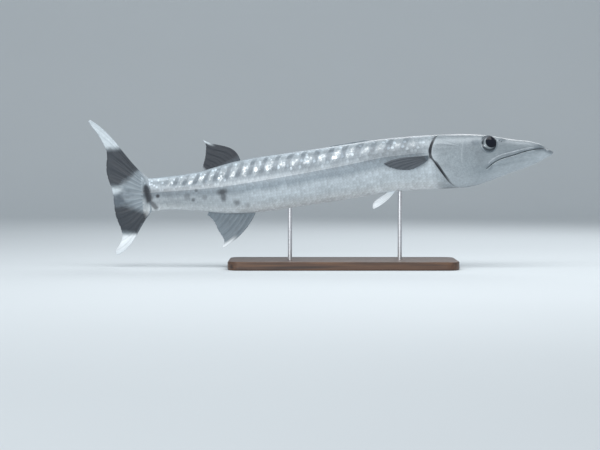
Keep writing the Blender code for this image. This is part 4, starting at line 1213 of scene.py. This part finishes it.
def finPaint(name, colourOf):
    paint = Paint(name, Coat_Weight=0.04, Coat_Roughness=0.30, Specular_IOR_Level=0.22)
    turned, back, side, up = paint.place()
    across, outward, ridge = [paint.attribute(label) for label in ("across", "outward", "ridge")]
    grain = paint.noise(turned, 70.0, 3.0)
    ragged = (paint.noise(turned, 55.0, 3.0) - 0.5) * 0.012
    colour = colourOf(paint, back + ragged, up + ragged, across, outward)
    colour = paint.brighter(colour, 0.80 + grain * 0.30 + ridge * 0.16)
    joints = (outward * 330.0).math("SINE") * ridge * outward.step(0.15, 0.4)
    streaks = paint.noise(turned, 420.0, 2.0)
    bumps = paint.bump(joints * 0.5 + streaks * 0.6, 0.35, 0.0003)
    paint.feed(Base_Color=colour, Roughness=0.36 + grain * 0.16, Normal=bumps)
    return paint.material


def caudalColour(paint, back, up, across, outward):
    look = finLook
    turned, trueBack, side, trueUp = paint.place()
    cloud = paint.noise(turned, 38.0, 3.0)
    colour = paint.mix(back.step(0.962, 0.985) * (0.60 + cloud * 0.6), skinLook["silver"], look["mid"])
    middle = up.bell(-0.002, 0.050) * back.step(0.985, 1.025)
    colour = paint.mix(middle * cloud.step(0.25, 0.60) * 0.9, colour, look["dusk"])
    colour = paint.mix(up.bell(0.019, 0.016) * back.step(1.012, 1.035) * 0.8, colour, look["pale"])
    colour = paint.mix(up.step(0.104, 0.126) * 0.75, colour, look["pale"])
    colour = paint.mix(up.step(-0.082, -0.098), colour, look["white"])
    ink = inkMarks(paint, turned, trueBack, trueUp, side)
    return paint.mix(ink, colour, look["black"])


def rearDorsalColour(paint, back, up, across, outward):
    look = finLook
    colour = paint.mix(outward.step(0.0, 0.18), look["dusk"], look["black"])
    tip = up.step(0.104, 0.112).larger(across.step(0.10, 0.02) * outward.step(0.70, 0.90) * 0.8)
    tip = tip.larger(across.step(0.90, 0.99) * 0.4)
    return paint.mix(tip, colour, look["pale"])


def analColour(paint, back, up, across, outward):
    look = finLook
    cloud = paint.noise(paint.place()[0], 45.0, 3.0)
    colour = paint.mix(0.20 + cloud * 0.5, look["mid"], look["steel"])
    colour = paint.mix(outward.step(0.10, 0.0) * 0.6, colour, skinLook["silver"])
    tip = up.step(-0.126, -0.140).larger(across.step(0.14, 0.04) * outward.step(0.60, 0.85))
    return paint.mix(tip, colour, look["white"])


def frontDorsalColour(paint, back, up, across, outward):
    return paint.mix(outward.step(0.2, 0.9) * 0.7, finLook["steel"], finLook["mid"])


def pelvicColour(paint, back, up, across, outward):
    return paint.mix(outward.step(0.0, 0.35), finLook["pale"], finLook["white"])


def pectoralColour(paint, back, up, across, outward):
    look = finLook
    colour = paint.mix(outward.step(0.0, 0.15), look["steel"], look["ink"])
    return paint.mix(across.step(0.80, 1.0) * 0.5, colour, look["steel"])


dress(buildFin("rear_dorsal", "rear_dorsal"), finPaint("rearDorsal", rearDorsalColour), "dark_fin",
      "dorsal_fin_rear")
dress(buildFin("anal", "anal"), finPaint("anal", analColour), "dark_fin", "anal_fin")
dress(frontDorsal(), finPaint("frontDorsal", frontDorsalColour), "dark_fin", "dorsal_fin_front")
dress(caudalFin(), finPaint("caudal", caudalColour), "dark_fin", "caudal_fin")
pelvicMaterial, pectoralMaterial = finPaint("pelvic", pelvicColour), finPaint("pectoral", pectoralColour)
for word, hand in (("right", -1.0), ("left", 1.0)):
    dress(pelvicFin("pelvic_" + word, hand), pelvicMaterial, "pale_fin", "pelvic_fin_" + word)
    dress(pectoralFin("pectoral_" + word, hand), pectoralMaterial, "dark_fin", "pectoral_fin_" + word)
print("stage 4: fins")


def eyePaint():
    paint = Paint("fishEye", Coat_Weight=0.35, Coat_Roughness=0.06, Specular_IOR_Level=0.10)
    ahead, lean = paint.attribute("ahead"), paint.attribute("lean")
    shiftAhead, shiftUp = eyes["pupilShift"]
    across, upward = ahead - shiftAhead, lean - shiftUp
    away = (across * across + upward * upward).math("SQRT")
    turn = upward.math("ARCTAN2", across)
    place = paint.node("ShaderNodeCombineXYZ", {}, {0: turn * 3.0, 1: away * 1.2})
    streaks = paint.noise(place, 5.0, 3.0)
    reach = (ahead * ahead + lean * lean).math("SQRT") + (streaks - 0.5) * 0.10
    iris = paint.brighter(paint.ramp(reach, eyes["iris"]), blended(eyes["irisLight"], streaks))
    pupil = away.step(eyes["pupilSize"] + 0.02, eyes["pupilSize"] - 0.02)
    colour = paint.mix(pupil, iris, eyes["pupil"])
    metal = (1 - pupil) * eyes["irisMetal"]
    paint.feed(Base_Color=colour, Metallic=metal, Roughness=0.24 - pupil * 0.12)
    return paint.material


def buildEye(name, hand):
    bm = bmesh.new()
    bmesh.ops.create_uvsphere(bm, u_segments=56, v_segments=28, radius=1.0)
    for k, label in enumerate(("ahead", "lean")):
        layer = bm.verts.layers.float.new(label)
        for vert in bm.verts:
            vert[layer] = vert.co[k]
    for vert in bm.verts:
        place = np.array(vert.co) * (eyes["radius"], eyes["radius"], eyes["halfDepth"])
        vert.co = toWorld(eyePlace(place), hand)
    bmesh.ops.recalc_face_normals(bm, faces=bm.faces)
    return newPiece(name, bm)


eyeMaterial = eyePaint()
for word, hand in (("right", -1.0), ("left", 1.0)):
    dress(buildEye("eyeball_" + word, hand), eyeMaterial, "eye", "eye_" + word)
print("stage 5: eyes")

# the stand keeps its solids; the wood's and the steel's tones run with their grain
standLook = {
    "wood": [(0.30, (0.030, 0.014, 0.008)), (0.50, (0.075, 0.034, 0.017)), (0.68, (0.120, 0.058, 0.028))],
    "steel": [(0.3, (0.50, 0.51, 0.53)), (0.7, (0.68, 0.69, 0.71))],
}


def woodPaint():
    paint = Paint("standWood", Coat_Weight=0.25, Coat_Roughness=0.2)
    coordinates = paint.coordinates()
    grain = paint.noise(coordinates, 16.0, 5.0, (0.35, 7.0, 7.0))
    pores = paint.noise(coordinates, 90.0, 3.0, (0.10, 6.0, 6.0))
    colour = paint.ramp(grain, standLook["wood"])
    colour = paint.brighter(colour, 0.75 + pores * 0.5)
    paint.feed(Base_Color=colour, Roughness=0.38 + pores * 0.2, Normal=paint.bump(pores, 0.3, 0.0004))
    return paint.material


def steelPaint():
    paint = Paint("standSteel", Metallic=1.0)
    brushed = paint.noise(paint.coordinates(), 60.0, 3.0, (1.0, 1.0, 22.0))
    colour = paint.ramp(brushed, standLook["steel"])
    paint.feed(Base_Color=colour, Roughness=0.24 + brushed * 0.16, Normal=paint.bump(brushed, 0.15, 0.0002))
    return paint.material


wood, steel = woodPaint(), steelPaint()
for name, material in (("stand_base", wood), ("stand_rod_front", steel), ("stand_rod_rear", steel)):
    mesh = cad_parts[name].data
    mesh.materials.clear()
    mesh.materials.append(material)
print("stage 6: stand")

# the room: a floor that curves up into a backdrop, soft lights and the camera
room = {
    "width": 14.0,
    "front": -7.0,
    "rear": 5.2,
    "bend": 2.0,
    "height": 5.5,
    "tone": (0.640, 0.695, 0.730),
    "bendSteps": 12,
    "sky": (0.78, 0.81, 0.84),
    "skyStrength": 0.56,
}
# place, size and power in watts of each light; all of them look at the fish
lights = {
    "skyLight": ((0.1, -0.7, 1.9), (2.4, 1.2), 30.0),
    "frontFill": ((-1.6, -4.6, 1.15), (4.0, 1.4), 108.0),
    "rearRim": ((0.9, 1.6, 1.5), (2.4, 0.8), 16.0),
}
lightAim = (0.0, 0.0, 0.2)
view = {
    "aim": (-0.1013, 0.0, 0.1016),
    "distance": 4.0,
    "height": 0.270,
    "lens": 101.4,
}


def buildRoom():
    bend, rear = room["bend"], room["rear"]
    profile = [(room["front"], 0.0), (rear - bend, 0.0)]
    for angle in np.linspace(0, math.pi / 2, room["bendSteps"] + 1)[1:]:
        profile.append((rear - bend + bend * math.sin(angle), bend - bend * math.cos(angle)))
    profile.append((rear, room["height"]))
    bm = bmesh.new()
    line = [bm.verts.new((-room["width"] / 2, y, z)) for y, z in profile]
    edges = [bm.edges.new(pair) for pair in zip(line, line[1:])]
    made = bmesh.ops.extrude_edge_only(bm, edges=edges)
    moved = [v for v in made["geom"] if isinstance(v, bmesh.types.BMVert)]
    bmesh.ops.translate(bm, verts=moved, vec=(room["width"], 0, 0))
    bmesh.ops.recalc_face_normals(bm, faces=bm.faces)
    piece = newPiece("backdrop", bm)
    paint = Paint("paper", Roughness=0.9)
    tone = paint.noise(paint.coordinates(), 1.5)
    paint.feed(Base_Color=paint.brighter(room["tone"], 0.97 + tone * 0.04))
    piece.data.materials.append(paint.material)


def aimedAt(made, place, aim):
    made.location = place
    made.rotation_euler = (Vector(aim) - Vector(place)).to_track_quat("-Z", "Y").to_euler()
    bpy.context.scene.collection.objects.link(made)


buildRoom()
for name, (place, size, power) in lights.items():
    lamp = bpy.data.lights.new(name, "AREA")
    lamp.shape = "RECTANGLE"
    lamp.size, lamp.size_y = size
    lamp.energy = power
    light = bpy.data.objects.new(name, lamp)
    light.visible_camera = False
    aimedAt(light, place, lightAim)
world = bpy.data.worlds.new("studio")
world.use_nodes = True
sky = world.node_tree.nodes["Background"].inputs
sky["Color"].default_value = (*room["sky"], 1.0)
sky["Strength"].default_value = room["skyStrength"]
bpy.context.scene.world = world
bpy.context.scene.view_settings.view_transform = "Standard"

lens = bpy.data.cameras.new("camera")
lens.lens = view["lens"]
lens.sensor_width = 36.0
camera = bpy.data.objects.new("camera", lens)
drop = view["height"] - view["aim"][2]
away = math.sqrt(view["distance"] ** 2 - drop ** 2)
aimedAt(camera, (view["aim"][0], -away, view["height"]), view["aim"])
bpy.context.scene.camera = camera
print("stage 7: room and camera")
